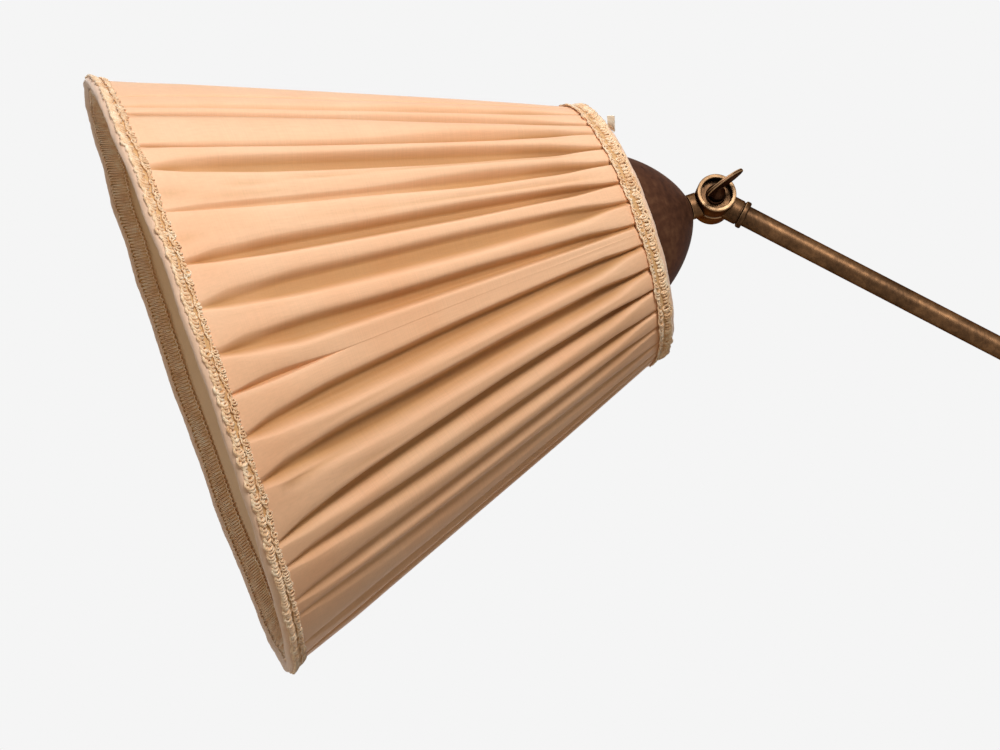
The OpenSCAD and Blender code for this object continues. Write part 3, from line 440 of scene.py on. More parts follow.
# ---- Column collar ----
# A turned brass collar with two beads, fixed on the column's end by a grub screw. Its boss takes the key
# that clamps the mast through a soft plastic bush.
collar_r, collar_low, collar_high = 12 * mm, 19 * mm, 21 * mm
collar_len, mast_bush_r = collar_low + collar_high, 7.8 * mm
collar_key_h, key_hole_r, grub_hole_r = column_top + 11 * mm, 2.55 * mm, 1.55 * mm
collar_line = [(column_r + 0.05 * mm, 0), (collar_r - 1.2 * mm, 0)]
collar_line += bead(collar_r, 1.4 * mm, 0.6 * mm, 4 * mm)
collar_line += bead(collar_r, 1.2 * mm, collar_len - 5.6 * mm, 4 * mm)
collar_line += [(collar_r - 1.5 * mm, collar_len - 1 * mm), (9.1 * mm, collar_len), (mast_bush_r, collar_len),
                (mast_bush_r, collar_low + 0.1 * mm), (column_r + 0.05 * mm, collar_low + 0.1 * mm)]
collar = turned("column_collar_turned", collar_line)
placed(rounded(collar, 0.2 * mm), raised(column_top - collar_low))
at_collar_key = raised(collar_key_h) @ to_front
boss_r, boss_reach = 5.5 * mm, 18 * mm
boss = placed(rounded(rod("boss", boss_r, 8.6 * mm, boss_reach, 64), 0.4 * mm), at_collar_key)
cut(collar, boss, "UNION")
cut(collar, placed(rod("hole", key_hole_r, 5 * mm, 30 * mm), at_collar_key))
cut(collar, placed(rod("hole", grub_hole_r, 5 * mm, 30 * mm),
                   raised(column_top - collar_low / 2) @ to_side))
done(smooth(collar), "stand", handled_brass, "column_collar")

bush_plastic = grained("turned_bush", "bush_plastic", 0.5 * mm, 2, (188, 170, 138), (214, 198, 166),
                       0.03 * mm, stretch=(6, 6, 1), Roughness=0.55)
cad_finish(bush_plastic, "collar_bush", "guide_ring")

# ---- Wing keys ----
# Three turned and flattened brass keys: an oval tab on a hub with a collar at its foot. They clamp the mast
# and the two knuckles. Their tabs stand on edge, a little to one side of the screw.
key_foot_r, key_hub_r, key_hub_len, key_screw_r = 4.7 * mm, 4 * mm, 5 * mm, 2.5 * mm
tab_half_len, tab_half_w, tab_t, tab_offset, tab_reach = 10.5 * mm, 6 * mm, 2 * mm, 2.6 * mm, 13.5 * mm


def wing_key(name, screw_len):
    """A key with its foot at the origin, its screw down, its hub up and its tab along X."""
    hub = turned(name, [
        (key_screw_r - 0.5 * mm, -screw_len), (key_screw_r, 0.5 * mm - screw_len), (key_screw_r, 0),
        (key_foot_r - 0.3 * mm, 0), (key_foot_r, 0.3 * mm), (key_foot_r, 0.9 * mm),
        (key_foot_r - 0.3 * mm, 1.2 * mm), (key_hub_r + 0.1 * mm, 1.35 * mm), (key_hub_r, 1.7 * mm),
        (key_hub_r, key_hub_len - 0.6 * mm), (key_hub_r - 0.25 * mm, key_hub_len),
        (2.9 * mm, key_hub_len + 2 * mm), (2.2 * mm, key_hub_len + 3.6 * mm),
        (1.6 * mm, tab_reach - 1.5 * mm)], 64, "filled")
    alone()
    bpy.ops.mesh.primitive_cylinder_add(vertices=96, radius=1, depth=tab_t)
    tab = named("tab")
    tab.scale = (tab_half_len, tab_half_w, 1)
    bpy.ops.object.transform_apply(scale=True)
    bpy.ops.object.mode_set(mode="EDIT")
    bpy.ops.mesh.select_all(action="DESELECT")
    bpy.ops.mesh.select_mode(type="FACE")
    bpy.ops.object.mode_set(mode="OBJECT")
    for face in tab.data.polygons:
        face.select = abs(face.normal.z) > 0.9
    bpy.ops.object.mode_set(mode="EDIT")
    bpy.ops.mesh.inset(thickness=1.3 * mm)
    bpy.ops.mesh.inset(thickness=1.6 * mm)
    bpy.ops.object.mode_set(mode="OBJECT")
    for vertex in tab.data.vertices:
        rim = (vertex.co.x / tab_half_len) ** 2 + (vertex.co.y / tab_half_w) ** 2
        vertex.co.z *= 1 - 0.38 * max(rim - 0.25, 0)
    placed(tab, Matrix.Translation((tab_offset, 0, tab_reach)) @ to_front)
    return smooth(cut(hub, rounded(tab, 0.45 * mm, 40), "UNION"), 35)


collar_key_screw, knuckle_key_screw = 11.5 * mm, 13.9 * mm
collar_key = wing_key("collar_wing_key", collar_key_screw)
placed(collar_key, raised(collar_key_h) @ to_front
       @ raised(boss_reach + 0.1 * mm) @ Matrix.Rotation(math.radians(75), 4, "Z"))
done(collar_key, "collar_key", [dark_brass, worn_brass], "collar_key")

# ---- Mast ----
# The thinner drawn tube that slides in the column. The swivel socket, a turned brass sleeve with a bead, is
# soldered on its upper end, and a grub screw in it keeps the turret from lifting out.
mast_r, mast_foot, mast_top = 6.5 * mm, 440 * mm, 1037 * mm
upper_tube = tube("mast_tube", mast_r, 1.25 * mm, mast_foot, mast_top)
done(upper_tube, "mast", handled_brass, "upper_column")

socket_r, socket_from, socket_grub_h, journal_r = 8.2 * mm, 1028 * mm, 1048 * mm, 5 * mm
socket_line = [(mast_r + 0.05 * mm, 0), (socket_r - 0.8 * mm, 0), (socket_r, 0.8 * mm), (socket_r, 7.6 * mm)]
socket_line += bead(socket_r, 1.3 * mm, 8 * mm, 4.4 * mm)
socket_line += [(socket_r, 33.6 * mm), (socket_r + 0.9 * mm, 34.5 * mm), (socket_r + 0.9 * mm, 36.2 * mm),
                (socket_r + 0.2 * mm, 37 * mm), (journal_r + 0.05 * mm, 37 * mm),
                (journal_r + 0.05 * mm, 9.4 * mm), (mast_r + 0.05 * mm, 9.1 * mm)]
socket = rounded(turned("swivel_socket_turned", socket_line), 0.18 * mm)
placed(socket, raised(socket_from))
cut(socket, placed(rod("hole", grub_hole_r, 3 * mm, 20 * mm),
                   raised(socket_grub_h) @ to_side))
done(smooth(socket), "mast", handled_brass, "swivel_socket")

# ---- Turret ----
# The mast knuckle's rear half: a drum with a hexagonal pocket for a captive nut, on a neck that ends in a
# flange and a long journal. It turns in the swivel socket.
knuckle_r, half_depth, lap = 9.3 * mm, 9.5 * mm, 0.5 * mm
nut_floor, nut_across, neck_gap_r, stub_r = 5.5 * mm, 9 * mm, 9.7 * mm, 6 * mm
mast_hinge = joint_at["arm_tilt"]
at_mast = Matrix.Translation(mast_hinge)
to_rear = to_back @ Matrix.Rotation(math.pi / 2, 4, "Z")


def drum(name, line, facing):
    """One half's drum, turned about Z from its lap face outwards, with its rounded corners rubbed bright."""
    shape = turned(name, line, 96)
    for face in shape.data.polygons:
        face.material_index = face.center.z > half_depth - 0.01 * mm
    return placed(rounded(shape, 0.5 * mm), facing)


def rear_half(name, neck_line):
    """A drum towards the back, with the nut's pocket in it and a neck along +Z."""
    neck = rounded(turned(name, [(stub_r, stub_r)] + neck_line, 96, "filled"), 0.2 * mm)
    cut(neck, placed(rod("gap", neck_gap_r, -lap, 30 * mm, 96), to_front))
    cut(neck, placed(rod("gap", knuckle_r - 1.5 * mm, -30 * mm, 30 * mm, 96), to_front))
    line = [(key_hole_r, lap), (knuckle_r, lap), (knuckle_r, half_depth), (key_hole_r, half_depth)]
    shape = drum(name, line, to_back)
    nut_corner_r = nut_across / 2 / math.cos(math.pi / 6)
    cut(shape, placed(rod("pocket", nut_corner_r + 0.05 * mm, nut_floor, 20 * mm, 6), to_rear))
    return smooth(cut(shape, neck, "UNION"), 35)


drop, grub_drop = 15 * mm, 32 * mm
turret = rear_half("turret_turned", [
    (stub_r, drop - 3.6 * mm), (socket_r, drop - 3.5 * mm), (socket_r, drop - 0.1 * mm),
    (journal_r, drop - 0.1 * mm), (journal_r, grub_drop - 1.8 * mm),
    (journal_r - 0.9 * mm, grub_drop - 1.8 * mm), (journal_r - 0.9 * mm, grub_drop + 1.8 * mm),
    (journal_r, grub_drop + 1.8 * mm), (journal_r, drop + 26 * mm)])
placed(turret, at_mast @ Matrix.Rotation(math.pi, 4, "Y"))
done(turret, "turret", handled_brass, "turret")

fibre = grained("vulcanised_fibre", "fibre", 0.8 * mm, 4, (44, 36, 32), (70, 58, 50), 0.05 * mm,
                Roughness=0.7)
cad_finish(fibre, "arm_friction_washer", "head_friction_washer")

# ---- Arm ----
# A long thin brass tube between two knuckle halves. Each half is a turned drum with a deep cup for its key,
# and a stub with a fine groove and a lip, into which the tube is soldered.
cup_r, cup_floor, stub_reach, lip_r = 7.3 * mm, 5.5 * mm, 17.1 * mm, 6.7 * mm
arm_r, arm_len, arm_turn = 5 * mm, 420 * mm, math.radians(-62.5)
along_arm = at_mast @ Matrix.Rotation(arm_turn, 4, "Y")
arm_bore, tube_from = neck_gap_r + 0.6 * mm, neck_gap_r + 0.7 * mm


def front_half(name):
    """A drum with its cup towards the front, and a stub along +Z that takes the arm's tube."""
    lip_at = stub_reach - 2.5 * mm
    stub = turned(name, [
        (stub_r, stub_r), (stub_r, lip_at - 1.1 * mm), (stub_r - 0.1 * mm, lip_at - 0.85 * mm),
        (5.6 * mm, lip_at - 0.75 * mm), (5.6 * mm, lip_at - 0.35 * mm), (6.15 * mm, lip_at - 0.15 * mm),
        (lip_r - 0.15 * mm, lip_at + 0.2 * mm), (lip_r, lip_at + 0.5 * mm), (lip_r, lip_at + 1.9 * mm),
        (lip_r - 0.2 * mm, lip_at + 2.2 * mm), (lip_r - 0.6 * mm, stub_reach),
        (arm_r + 0.05 * mm, stub_reach), (arm_r + 0.05 * mm, arm_bore)], 96, "filled")
    for face in stub.data.polygons:
        face.material_index = lip_at + 0.3 * mm < face.center.z < lip_at + 0.6 * mm
    cut(stub, placed(rod("gap", neck_gap_r, -lap, 30 * mm, 96), to_back))
    cut(stub, placed(rod("gap", knuckle_r - 1 * mm, -30 * mm, 30 * mm, 96), to_back))
    shape = drum(name, [(key_hole_r, lap), (knuckle_r, lap), (knuckle_r, half_depth), (cup_r, half_depth),
                        (cup_r, cup_floor), (key_hole_r, cup_floor)], to_front)
    return smooth(cut(shape, stub, "UNION"), 35)


heel = placed(front_half("arm_heel_turned"), along_arm)
done(heel, "arm", handled_brass, "arm_heel")
arm = placed(tube("arm_long_tube", arm_r, 1 * mm, tube_from, arm_len - tube_from), along_arm)
done(arm, "arm", handled_brass, "arm_tube")
wrist = placed(front_half("arm_wrist_turned"),
               along_arm @ raised(arm_len) @ Matrix.Rotation(math.pi, 4, "Y"))
done(wrist, "arm", handled_brass, "arm_wrist")

in_cup = to_front @ raised(cup_floor + 0.1 * mm)
for name, hinge, turn in (("arm_key", mast_hinge, 118), ("head_key", head_hinge, 36.6)):
    key = wing_key(name.replace("_", "_wing_"), knuckle_key_screw)
    placed(key, Matrix.Translation(hinge) @ in_cup @ Matrix.Rotation(math.radians(turn), 4, "Z"))
    done(key, name, [dark_brass, worn_brass], name)

# ---- Head knuckle ----
# The head's own knuckle half, turned from brass rod, with a neck and a hollow threaded spigot. The cap and
# the lampholder are held on the spigot by a washer and a nut.
head_turn = math.radians(-111)
at_head = Matrix.Translation(head_hinge) @ Matrix.Rotation(head_turn, 4, "Y")
spigot_r, spigot_bore, neck_end, spigot_end = 5 * mm, 3.5 * mm, 12.69 * mm, 30.4 * mm
knuckle = rear_half("head_knuckle_turned", [
    (stub_r, neck_end), (spigot_r, neck_end), (spigot_r, spigot_end), (spigot_bore, spigot_end),
    (spigot_bore, neck_gap_r + 1 * mm)])
done(placed(knuckle, at_head), "head", handled_brass, "head_knuckle")

# ---- Cap ----
# A spun brass dome, browned almost black, and rubbed at its rim and at its hole. It slips over the spigot,
# hides the lampholder's back and closes the shade's top.
cap_at, cap_r, cap_len, cap_power, cap_wall = 11.8 * mm, 40.4 * mm, 44 * mm, 1.6, 1 * mm


def cap_line(radius, length, low):
    """The dome's outline from the spigot's hole to its mouth."""
    line = []
    for step in range(49):
        r = spigot_r + 0.05 * mm + (radius - spigot_r - 0.05 * mm) * math.sin(math.pi / 2 * step / 48)
        line.append((r, low + length * (1 - (1 - (r / radius) ** cap_power) ** (1 / cap_power))))
    return line


spun_brass = Finish("spun_dark_brass", "dark_brass", Metallic=0.5, Specular_IOR_Level=0.05,
                    Specular_Tint=brown_film)
clouds, spots, marks = spun_brass.grain(26 * mm, 3), spun_brass.grain(3 * mm, 6), spun_brass.grain(0.7 * mm)
spun_brass.shade(Base_Color=spun_brass.ramp(clouds * 0.5 + spots * 0.5, (0.32, colour(62, 38, 27)),
                                            (0.5, colour(84, 54, 39)), (0.7, colour(108, 75, 54))),
                 Roughness=spots * 0.16 + 0.46)
spun_brass.bump(spots * 0.7 + marks * 0.3, 0.04 * mm)
cap = turned("cap_dome", cap_line(cap_r, cap_len, cap_at)
             + cap_line(cap_r - cap_wall, cap_len - cap_wall, cap_at + cap_wall)[::-1], 160)
rubbed_hole_r, rubbed_from = 6.6 * mm, cap_at + cap_len - 0.6 * mm
for face in cap.data.polygons:
    face.material_index = face.center.xy.length < rubbed_hole_r or face.center.z > rubbed_from
done(placed(smooth(rounded(cap, 0.3 * mm), 32), at_head), "head", [spun_brass, brown_brass], "cap")

# ---- Lampholder ----
# A two-part holder of brown moulded resin on the spigot: a domed top, and a body whose skirt takes the
# clamp ring. Inside it a white ceramic insert carries the screw sleeve and the centre contact.
resin = Finish("brown_resin", "bakelite", Specular_IOR_Level=0.5)
flow = resin.grain(5 * mm, 5, (1, 1, 2.5))
resin.shade(Base_Color=resin.ramp(flow, (0.35, colour(38, 25, 19)), (0.55, colour(62, 40, 29)),
                                  (0.72, colour(86, 56, 38))),
            Roughness=resin.grain(1.4 * mm, 4) * 0.2 + 0.22)
resin.bump(flow, 0.03 * mm)
holder_r, holder_from, body_from, body_to = 19.5 * mm, 22.4 * mm, 36.4 * mm, 74 * mm
ring_r, ring_from, ring_to, flange_r, flange_at = 26 * mm, 60.3 * mm, 67.3 * mm, 24 * mm, 56.9 * mm
top_line = [(spigot_r + 0.1 * mm, holder_from), (8.5 * mm, holder_from), (8.5 * mm, holder_from + 4 * mm)]
top_line += swept(12, lambda t: (9 * mm + (holder_r - 9.5 * mm) * math.sin(math.pi / 2 * t),
                                 body_from - 1.5 * mm - 8 * mm * math.cos(math.pi / 2 * t)))
top_line += [(holder_r, body_from - 1 * mm), (holder_r, body_from - 0.1 * mm),
             (holder_r - 2 * mm, body_from - 0.1 * mm), (holder_r - 3 * mm, body_from - 2 * mm),
             (9 * mm, holder_from + 6 * mm), (spigot_r + 0.1 * mm, holder_from + 6 * mm)]
holder_top = placed(smooth(rounded(turned("holder_top_moulded", top_line), 0.3 * mm)), at_head)
done(holder_top, "head", resin, "holder_top")

body_line = [(holder_r - 2.2 * mm, body_from), (holder_r, body_from)]
for step in range(5):
    low = body_from + 3 * mm + 3 * mm * step
    body_line += [(holder_r, low), (holder_r - 0.5 * mm, low + 0.4 * mm),
                  (holder_r - 0.5 * mm, low + 1.1 * mm), (holder_r, low + 1.5 * mm)]
body_line += [(holder_r, flange_at - 0.2 * mm), (flange_r, flange_at), (flange_r, flange_at + 2 * mm),
              (holder_r + 0.3 * mm, flange_at + 2 * mm)]
for step in range(6):
    low = flange_at + 2.6 * mm + 2.1 * mm * step
    body_line += [(holder_r - 0.1 * mm, low), (holder_r + 0.3 * mm, low + 0.5 * mm),
                  (holder_r + 0.3 * mm, low + 1 * mm)]
body_line += [(holder_r - 0.3 * mm, body_to - 0.6 * mm), (holder_r - 0.8 * mm, body_to),
              (holder_r - 2.2 * mm, body_to)]
holder_body = placed(smooth(rounded(turned("holder_body_moulded", body_line), 0.15 * mm)), at_head)
done(holder_body, "head", resin, "holder_body")

clamp = turned("clamp_ring_moulded", [
    (holder_r + 0.5 * mm, ring_from), (ring_r - 0.6 * mm, ring_from), (ring_r, ring_from + 0.6 * mm),
    (ring_r, ring_to - 0.6 * mm), (ring_r - 0.6 * mm, ring_to), (holder_r + 0.5 * mm, ring_to)], 144)
grip_depth, grip_step = 0.022, 2.5
for vertex in clamp.data.vertices:
    if vertex.co.xy.length > ring_r - 0.1 * mm:
        place = round(math.degrees(math.atan2(vertex.co.y, vertex.co.x)) / grip_step)
        vertex.co.xy *= 1 - grip_depth * (place % 3 == 0)
done(placed(smooth(clamp, 20), at_head), "head", resin, "clamp_ring")

white_ceramic = grained("white_ceramic", "ceramic", 2 * mm, 4, (214, 208, 196), (236, 232, 222), 0.03 * mm,
                        Roughness=0.35)
cad_finish(white_ceramic, "holder_insert")
contact_brass = grained("contact_brass", "contact_brass", 1 * mm, 4, (186, 150, 82), (224, 190, 116),
                        0.02 * mm, (0.2, 0.25), (1, 1, 5), Metallic=1)
cad_finish(contact_brass, "holder_sleeve", "holder_contact")

# ---- Bulb ----
# A round opal glass bulb, blown and cemented into a rolled screw cap of plated brass. The cap's end is a
# ring of black glass with a soldered tip.
tip_at, cap_to, bulb_end, bulb_r, bulb_at = 45 * mm, 69 * mm, 150 * mm, 30 * mm, 120 * mm
nickel = grained("plated_screw_cap", "bulb_metal", 1.2 * mm, 4, (172, 170, 164), (216, 214, 208), 0.02 * mm,
                 (0.2, 0.2), (1, 1, 4), Metallic=1)
screw_line = [(3.2 * mm, tip_at), (4.2 * mm, tip_at + 0.6 * mm), (5 * mm, tip_at + 1.4 * mm),
              (9.6 * mm, tip_at + 4.2 * mm), (11.6 * mm, tip_at + 5 * mm)]
thread_turns = 5
screw_line += swept(8 * thread_turns, lambda t: (
    12.4 * mm + 0.55 * mm * math.cos(2 * math.pi * thread_turns * t), tip_at + 6 * mm + 13.4 * mm * t))
screw_line += [(12.9 * mm, cap_to - 3 * mm), (13 * mm, cap_to)]
screw = turned("bulb_screw_cap", screw_line, 96, "filled")
black_glass = grained("black_glass", "bulb_metal", 1 * mm, 3, (16, 15, 15), (34, 32, 31), Roughness=0.15)
for face in screw.data.polygons:
    face.material_index = tip_at + 1.3 * mm < face.center.z < tip_at + 4.3 * mm
done(placed(smooth(screw, 40), at_head), "head", [nickel, black_glass], "bulb_cap")

opal = Finish("opal_glass", "opal_glass", Roughness=0.12, Coat_Weight=0.3, Subsurface_Weight=0.15)
opal.shade(Base_Color=opal.mix(opal.grain(14 * mm, 3), colour(232, 228, 218), colour(246, 243, 236)))
opal.bump(opal.grain(6 * mm, 2), 0.02 * mm)
neck_r, neck_from, neck_to, globe_low = 12.9 * mm, cap_to + 0.1 * mm, cap_to + 4.1 * mm, 0.86
globe_from = bulb_at - globe_low * bulb_r
bulb_line = [(neck_r - 0.6 * mm, neck_from), (neck_r, neck_from), (neck_r, neck_to)]
bulb_line += swept(12, lambda t: (neck_r + (0.51 * bulb_r - neck_r) * t ** 2.2,
                                  neck_to + (globe_from - neck_to) * t), 1)
for step in range(1, 48):
    turn = math.acos(-globe_low) * (1 - step / 48)
    bulb_line.append((bulb_r * math.sin(turn), bulb_at + bulb_r * math.cos(turn)))
bulb_line.append((0.4 * mm, bulb_end))
bulb = turned("bulb_opal", bulb_line, 128, "filled")
done(placed(smooth(bulb, 50), at_head), "head", opal, "bulb_glass")

# ---- Shade frame ----
# Brass spokes from a fitting ring to the shade's top ring, and six ribs down to the bottom ring. The ribs
# and the bottom ring are wrapped in cotton tape, and the cloth is sewn to that.
brass_wire = grained("brass_wire", "brass_wire", 1.1 * mm, 4, (112, 88, 56), (168, 136, 90), 0.03 * mm,
                     (0.2, 0.32), (1, 1, 6), Metallic=0.8)
cad_finish(brass_wire, "shade_spider")
cotton = grained("cotton_tape", "frame_wire", 0.9 * mm, 3, (206, 186, 158), (234, 218, 194), 0.15 * mm,
                 stretch=(1, 4, 1), Roughness=0.9, Sheen_Weight=0.2)
cad_finish(cotton, "shade_ribs", "shade_bottom_ring")

# ---- Shade cover ----
# Peach satin, cut straight and gathered on to the frame in 42 round folds that lie one way round it. Each
# fold is full half way down, and is drawn in to a thin crease under the braids at its two ends.
crest_from, crest_slope, cover_from, cover_to, cloth_t = 60.8 * mm, 0.37729, 49.4 * mm, 257.6 * mm, 0.6 * mm
lean, top_ring_at = math.atan(crest_slope), 50 * mm
rng = random.Random(7)


def crest_r(along):
    """The radius of the pleats' crests at a distance along the shade."""
    return crest_from + crest_slope * (along - top_ring_at)


def on_cone(turn, along, out=0):
    """A point of the shade in the head's own frame. turn goes from the top towards the front, and out leaves
    the pleats' crests at right angles."""
    radius = crest_r(along) + out * math.cos(lean)
    return Vector((radius * math.cos(turn), -radius * math.sin(turn), along - out * math.sin(lean)))


def between(value, *points):
    """Reads a smooth line through a few (place, value) points."""
    for (x0, y0), (x1, y1) in zip(points, points[1:]):
        if value <= x1:
            t = min(max((value - x0) / (x1 - x0), 0), 1)
            return y0 + (y1 - y0) * t * t * (3 - 2 * t)
    return points[-1][1]


# where each crease lies at the top, half way and at the mouth, in degrees, how deep and how wide its fold
# is, where along it the fold fades (or starts, if less than 0), the share of the fold on the crease's upper
# side, and how much of the fold is a flat floor
creases = [(43.8, 45.9, 47.4, 1, 0.8, 0.44, 0.78, 0), (53.8, 51.1, 50.4, 1, 0.62, 0.45, 0.7, 0),
           (60, 62, 60.9, 0.95, 0.75, 0.4, 0.7, 0), (68.8, 67.7, 67, 0.85, 0.88, 1, 0.4, 0.38),
           (77.3, 77.8, 77, 0.8, 0.78, 0.42, 0.5, 0.3), (87, 86.9, 87.5, 0.95, 0.7, 1, 0.45, 0.3),
           (95.8, 95.4, 95.6, 0.8, 0.92, 1, 0.42, 0.4), (105.8, 104.9, 103.8, 0.9, 0.95, 1, 0.4, 0.35),
           (109, 110, 111.1, 0.75, 0.4, -0.7, 0.6, 0.1),
           (114.5, 116.4, 118.9, 0.95, 1, 1, 0.38, 0.3), (124.6, 126.5, 127.4, 0.95, 1.15, 1, 0.4, 0.35),
           (134.2, 136.2, 139.8, 0.9, 0.9, 1, 0.38, 0.25), (144.3, 145.8, 145.3, 0.65, 0.85, 1, 0.4, 0.25),
           (153.2, 154.8, 154.6, 0.4, 0.9, 1, 0.38, 0.2), (164.3, 162.4, 159, 0.3, 0.95, 1, 0.4, 0.1),
           (172.4, 172.8, 171, 0.28, 0.9, 1, 0.4, 0.1)]
# the folds behind go on with seeded places, and keep a few degrees from each rib of the frame
back_from, back_to, back_folds, rib_step, rib_room = 171, 384, 25, 60, 3.6
for step in range(1, back_folds + 1):
    place = back_from + (back_to - back_from) / (back_folds + 1) * step + rng.uniform(-1, 1)
    from_rib = place % rib_step - rib_step / 2
    if abs(from_rib) < rib_room:
        place += math.copysign(rib_room, from_rib) - from_rib
    creases.append((place, place + rng.uniform(-0.6, 0.6), place + rng.uniform(-0.6, 0.6),
                    rng.uniform(0.6, 1), rng.uniform(0.65, 0.9), rng.choice((0.4, 0.8, 1, 1, 1)),
                    rng.uniform(0.35, 0.6), 0.2))
creases.append((394, 397, 403.3, 0.4, 0.4, 1, 0.65, 0))
# fine lines on the crests: the same three places, how deep each is in millimetres, and where along it
# begins. The first three creases end in such lines.
lines = [(63.2, 62.6, 61, 0.4, 0), (72.8, 72, 73.2, 1, 0), (83.3, 82.8, 82.9, 0.8, 0),
         (77, 76.5, 75, 0.5, 0.6), (117, 120.5, 123, 0.3, 0), (132, 130.5, 129.6, 1.2, 0.7),
         (99.4, 99, 98.2, 0.25, 0), (41, 42, 45.2, 0.35, 0), (74, 74.5, 75.3, 0.7, 0.6),
         (136, 134, 133, 0.8, 0.6)]
lines += [(*places[:3], deep, 0.3) for places, deep in zip(creases, (1, 1, 0.8))]


def along_line(t, first, middle, last):
    """Where a crease lies at t, from its places at the two ends and half way."""
    return first * (1 - t) * (1 - 2 * t) + 4 * middle * t * (1 - t) + last * t * (2 * t - 1)


deepest = 4.9     # millimetres


def crease(index, t):
    """Where crease index lies at t along the shade, how wide and how deep its fold is there, and its upper
    share and flat share."""
    first, middle, last, deep, wide, fade, share, level = creases[index % len(creases)]
    turn = math.radians(along_line(t, first, middle, last) + 360 * (index // len(creases)))
    if fade > 0:
        left = 1 if fade == 1 else between(t, (0, 1), (fade - 0.15, 1), (fade + 0.2, 0.5), (1, 0.5))
    else:
        left = between(t, (-fade, 0), (0.2 - fade, 1))
    width = between(t, (0, 1.6), (0.04, 4), (0.16, 9.5), (0.45, 13.5), (0.75, 14), (0.9, 11), (0.97, 6),
                    (1, 2))
    width *= wide * (0.15 + 0.85 * left ** 1.5)
    depth = between(t, (0, 0.9), (0.015, 1.2), (0.05, 2.9), (0.12, 4), (0.4, 4.9), (0.8, 4.7), (0.93, 3.2),
                    (1, 0.6))
    level *= between(t, (0.05, 0), (0.2, 1), (0.8, 1), (1, 0))
    return turn, width * mm, min(depth * deep * left, deepest) * mm, share, level


def risen(s, level, soft=0.3):
    """How far a fold has risen from its floor, from 0 to 1: level at first, and round again at the crest."""
    drop = min((1 - s) / (1 - level), 1)
    return 1 - (math.sqrt(drop * drop + soft * soft) - soft) / (math.sqrt(1 + soft * soft) - soft)


up_steps, crest_steps, down_steps, rows = 8, 5, 7, 46
per_fold = up_steps + crest_steps + down_steps
around = per_fold * len(creases)


def pleated(column, row):
    """A point of the cover, and the painted shade for its colour: 0 on a crest, and more the deeper the point
    lies in a fold or a fine line, and near the two ends.
    """
    t = row / rows - 0.1 * math.sin(2 * math.pi * row / rows)
    along = cover_from + (cover_to - cover_from) * t
    index, step = divmod(column, per_fold)
    turn, width, depth, share, level = crease(index, t)
    next_turn, next_width, next_depth, next_share, next_level = crease(index + 1, t)
    radius = crest_r(along)
    most, late = 0.45 * (next_turn - turn), between(t, (0, 0), (0.55, 0), (1, 0.16))
    up = min(width * (1 - share - late) / radius, most)
    down = min(next_width * (next_share + late) / radius, most)
    # up from this crease's floor, along the crest, and down to the next crease's floor
    if step < up_steps:
        s = step / up_steps
        place, sink = turn + up * s, depth * (1 - risen(s, level))
    elif step < up_steps + crest_steps:
        s = (step - up_steps) / crest_steps
        place, sink = turn + up + (next_turn - down - turn - up) * s, 0
    else:
        s = 1 - (step - up_steps - crest_steps) / down_steps
        place, sink = next_turn - down * s, next_depth * (1 - risen(s, next_level))
    # the crest is crowned, the slack cloth wanders, and near the top it is puckered by the gathering thread
    across = min(max((place - turn - up * 0.6) / max(next_turn - down * 0.6 - turn - up * 0.6, 1e-6), 0), 1)
    crown = 0.95 * mm * (1 - (2 * across - 1) ** 2) * between(t, (0, 0.4), (0.3, 1), (0.8, 1), (1, 0.15))
    crown *= min(depth / (3.2 * mm), next_depth / (3.2 * mm), 1)
    body = between(t, (0, 0.3), (0.15, 1), (0.9, 1), (1, 0.1))
    slack = (0.45 * noise.noise(Vector((place * 12, t * 1.4, index * 3.7)))
             + 0.16 * noise.noise(Vector((place * 40, t * 2.2, index * 1.3)))) * mm * body
    gather = 0.3 * mm * noise.noise(Vector((place * 60, t * 5, 9))) * between(t, (0, 1), (0.3, 0))
    lined = 0
    for first, middle, last, deep, start in lines:
        off = (math.degrees(place) - along_line(t, first, middle, last)) * radius / (52 * mm)
        begun = between(t, (start, 0), (start + 0.2, 1), (0.95, 1), (1, 0.4))
        lined += deep * mm * math.exp(-off * off) * begun
    # painted shade: the folds are darkened near the two ends, where they are drawn in, and the second value
    # given back is shade for the satin's colour
    painted_end_shade = between(t, (0, 0.9), (0.1, 0.6), (0.28, 0), (0.85, 0), (1, 0.5))
    return (on_cone(place, along, crown + slack + gather - lined - sink),
            sink / (5 * mm) + lined / (3 * mm) + painted_end_shade * min(sink / (2.5 * mm), 1))


def cloth_grid(name, columns, rows):
    """A flat grid of cloth, a metre square, before it is shaped."""
    alone()
    bpy.ops.mesh.primitive_grid_add(x_subdivisions=columns, y_subdivisions=rows, size=1, calc_uvs=True)
    return named(name)


cover = cloth_grid("shade_cover_satin", around, rows)
# each point's painted shade is kept on the cover, for the satin to darken its folds with
painted_fold_shades = []
for vertex in cover.data.vertices:
    vertex.co, sink = pleated(round((vertex.co.x + 0.5) * around), round((vertex.co.y + 0.5) * rows))
    painted_fold_shades.append(sink)
cover.data.attributes.new("fold", "FLOAT", "POINT").data.foreach_set("value", painted_fold_shades)


def swayed(piece):
    """The mouth isn't quite true: everything sewn to its wire wanders by half a millimetre or so."""
    for vertex in piece.data.vertices:
        share = between(vertex.co.z, (222 * mm, 0), (256 * mm, 1))
        outward = Vector((vertex.co.x, vertex.co.y, 0)).normalized()
        vertex.co += outward * 0.5 * mm * share * noise.noise(outward * 4.2)
        vertex.co.z += 0.9 * mm * share * noise.noise(outward * 4.8 + Vector((7, 0, 0)))
    return piece


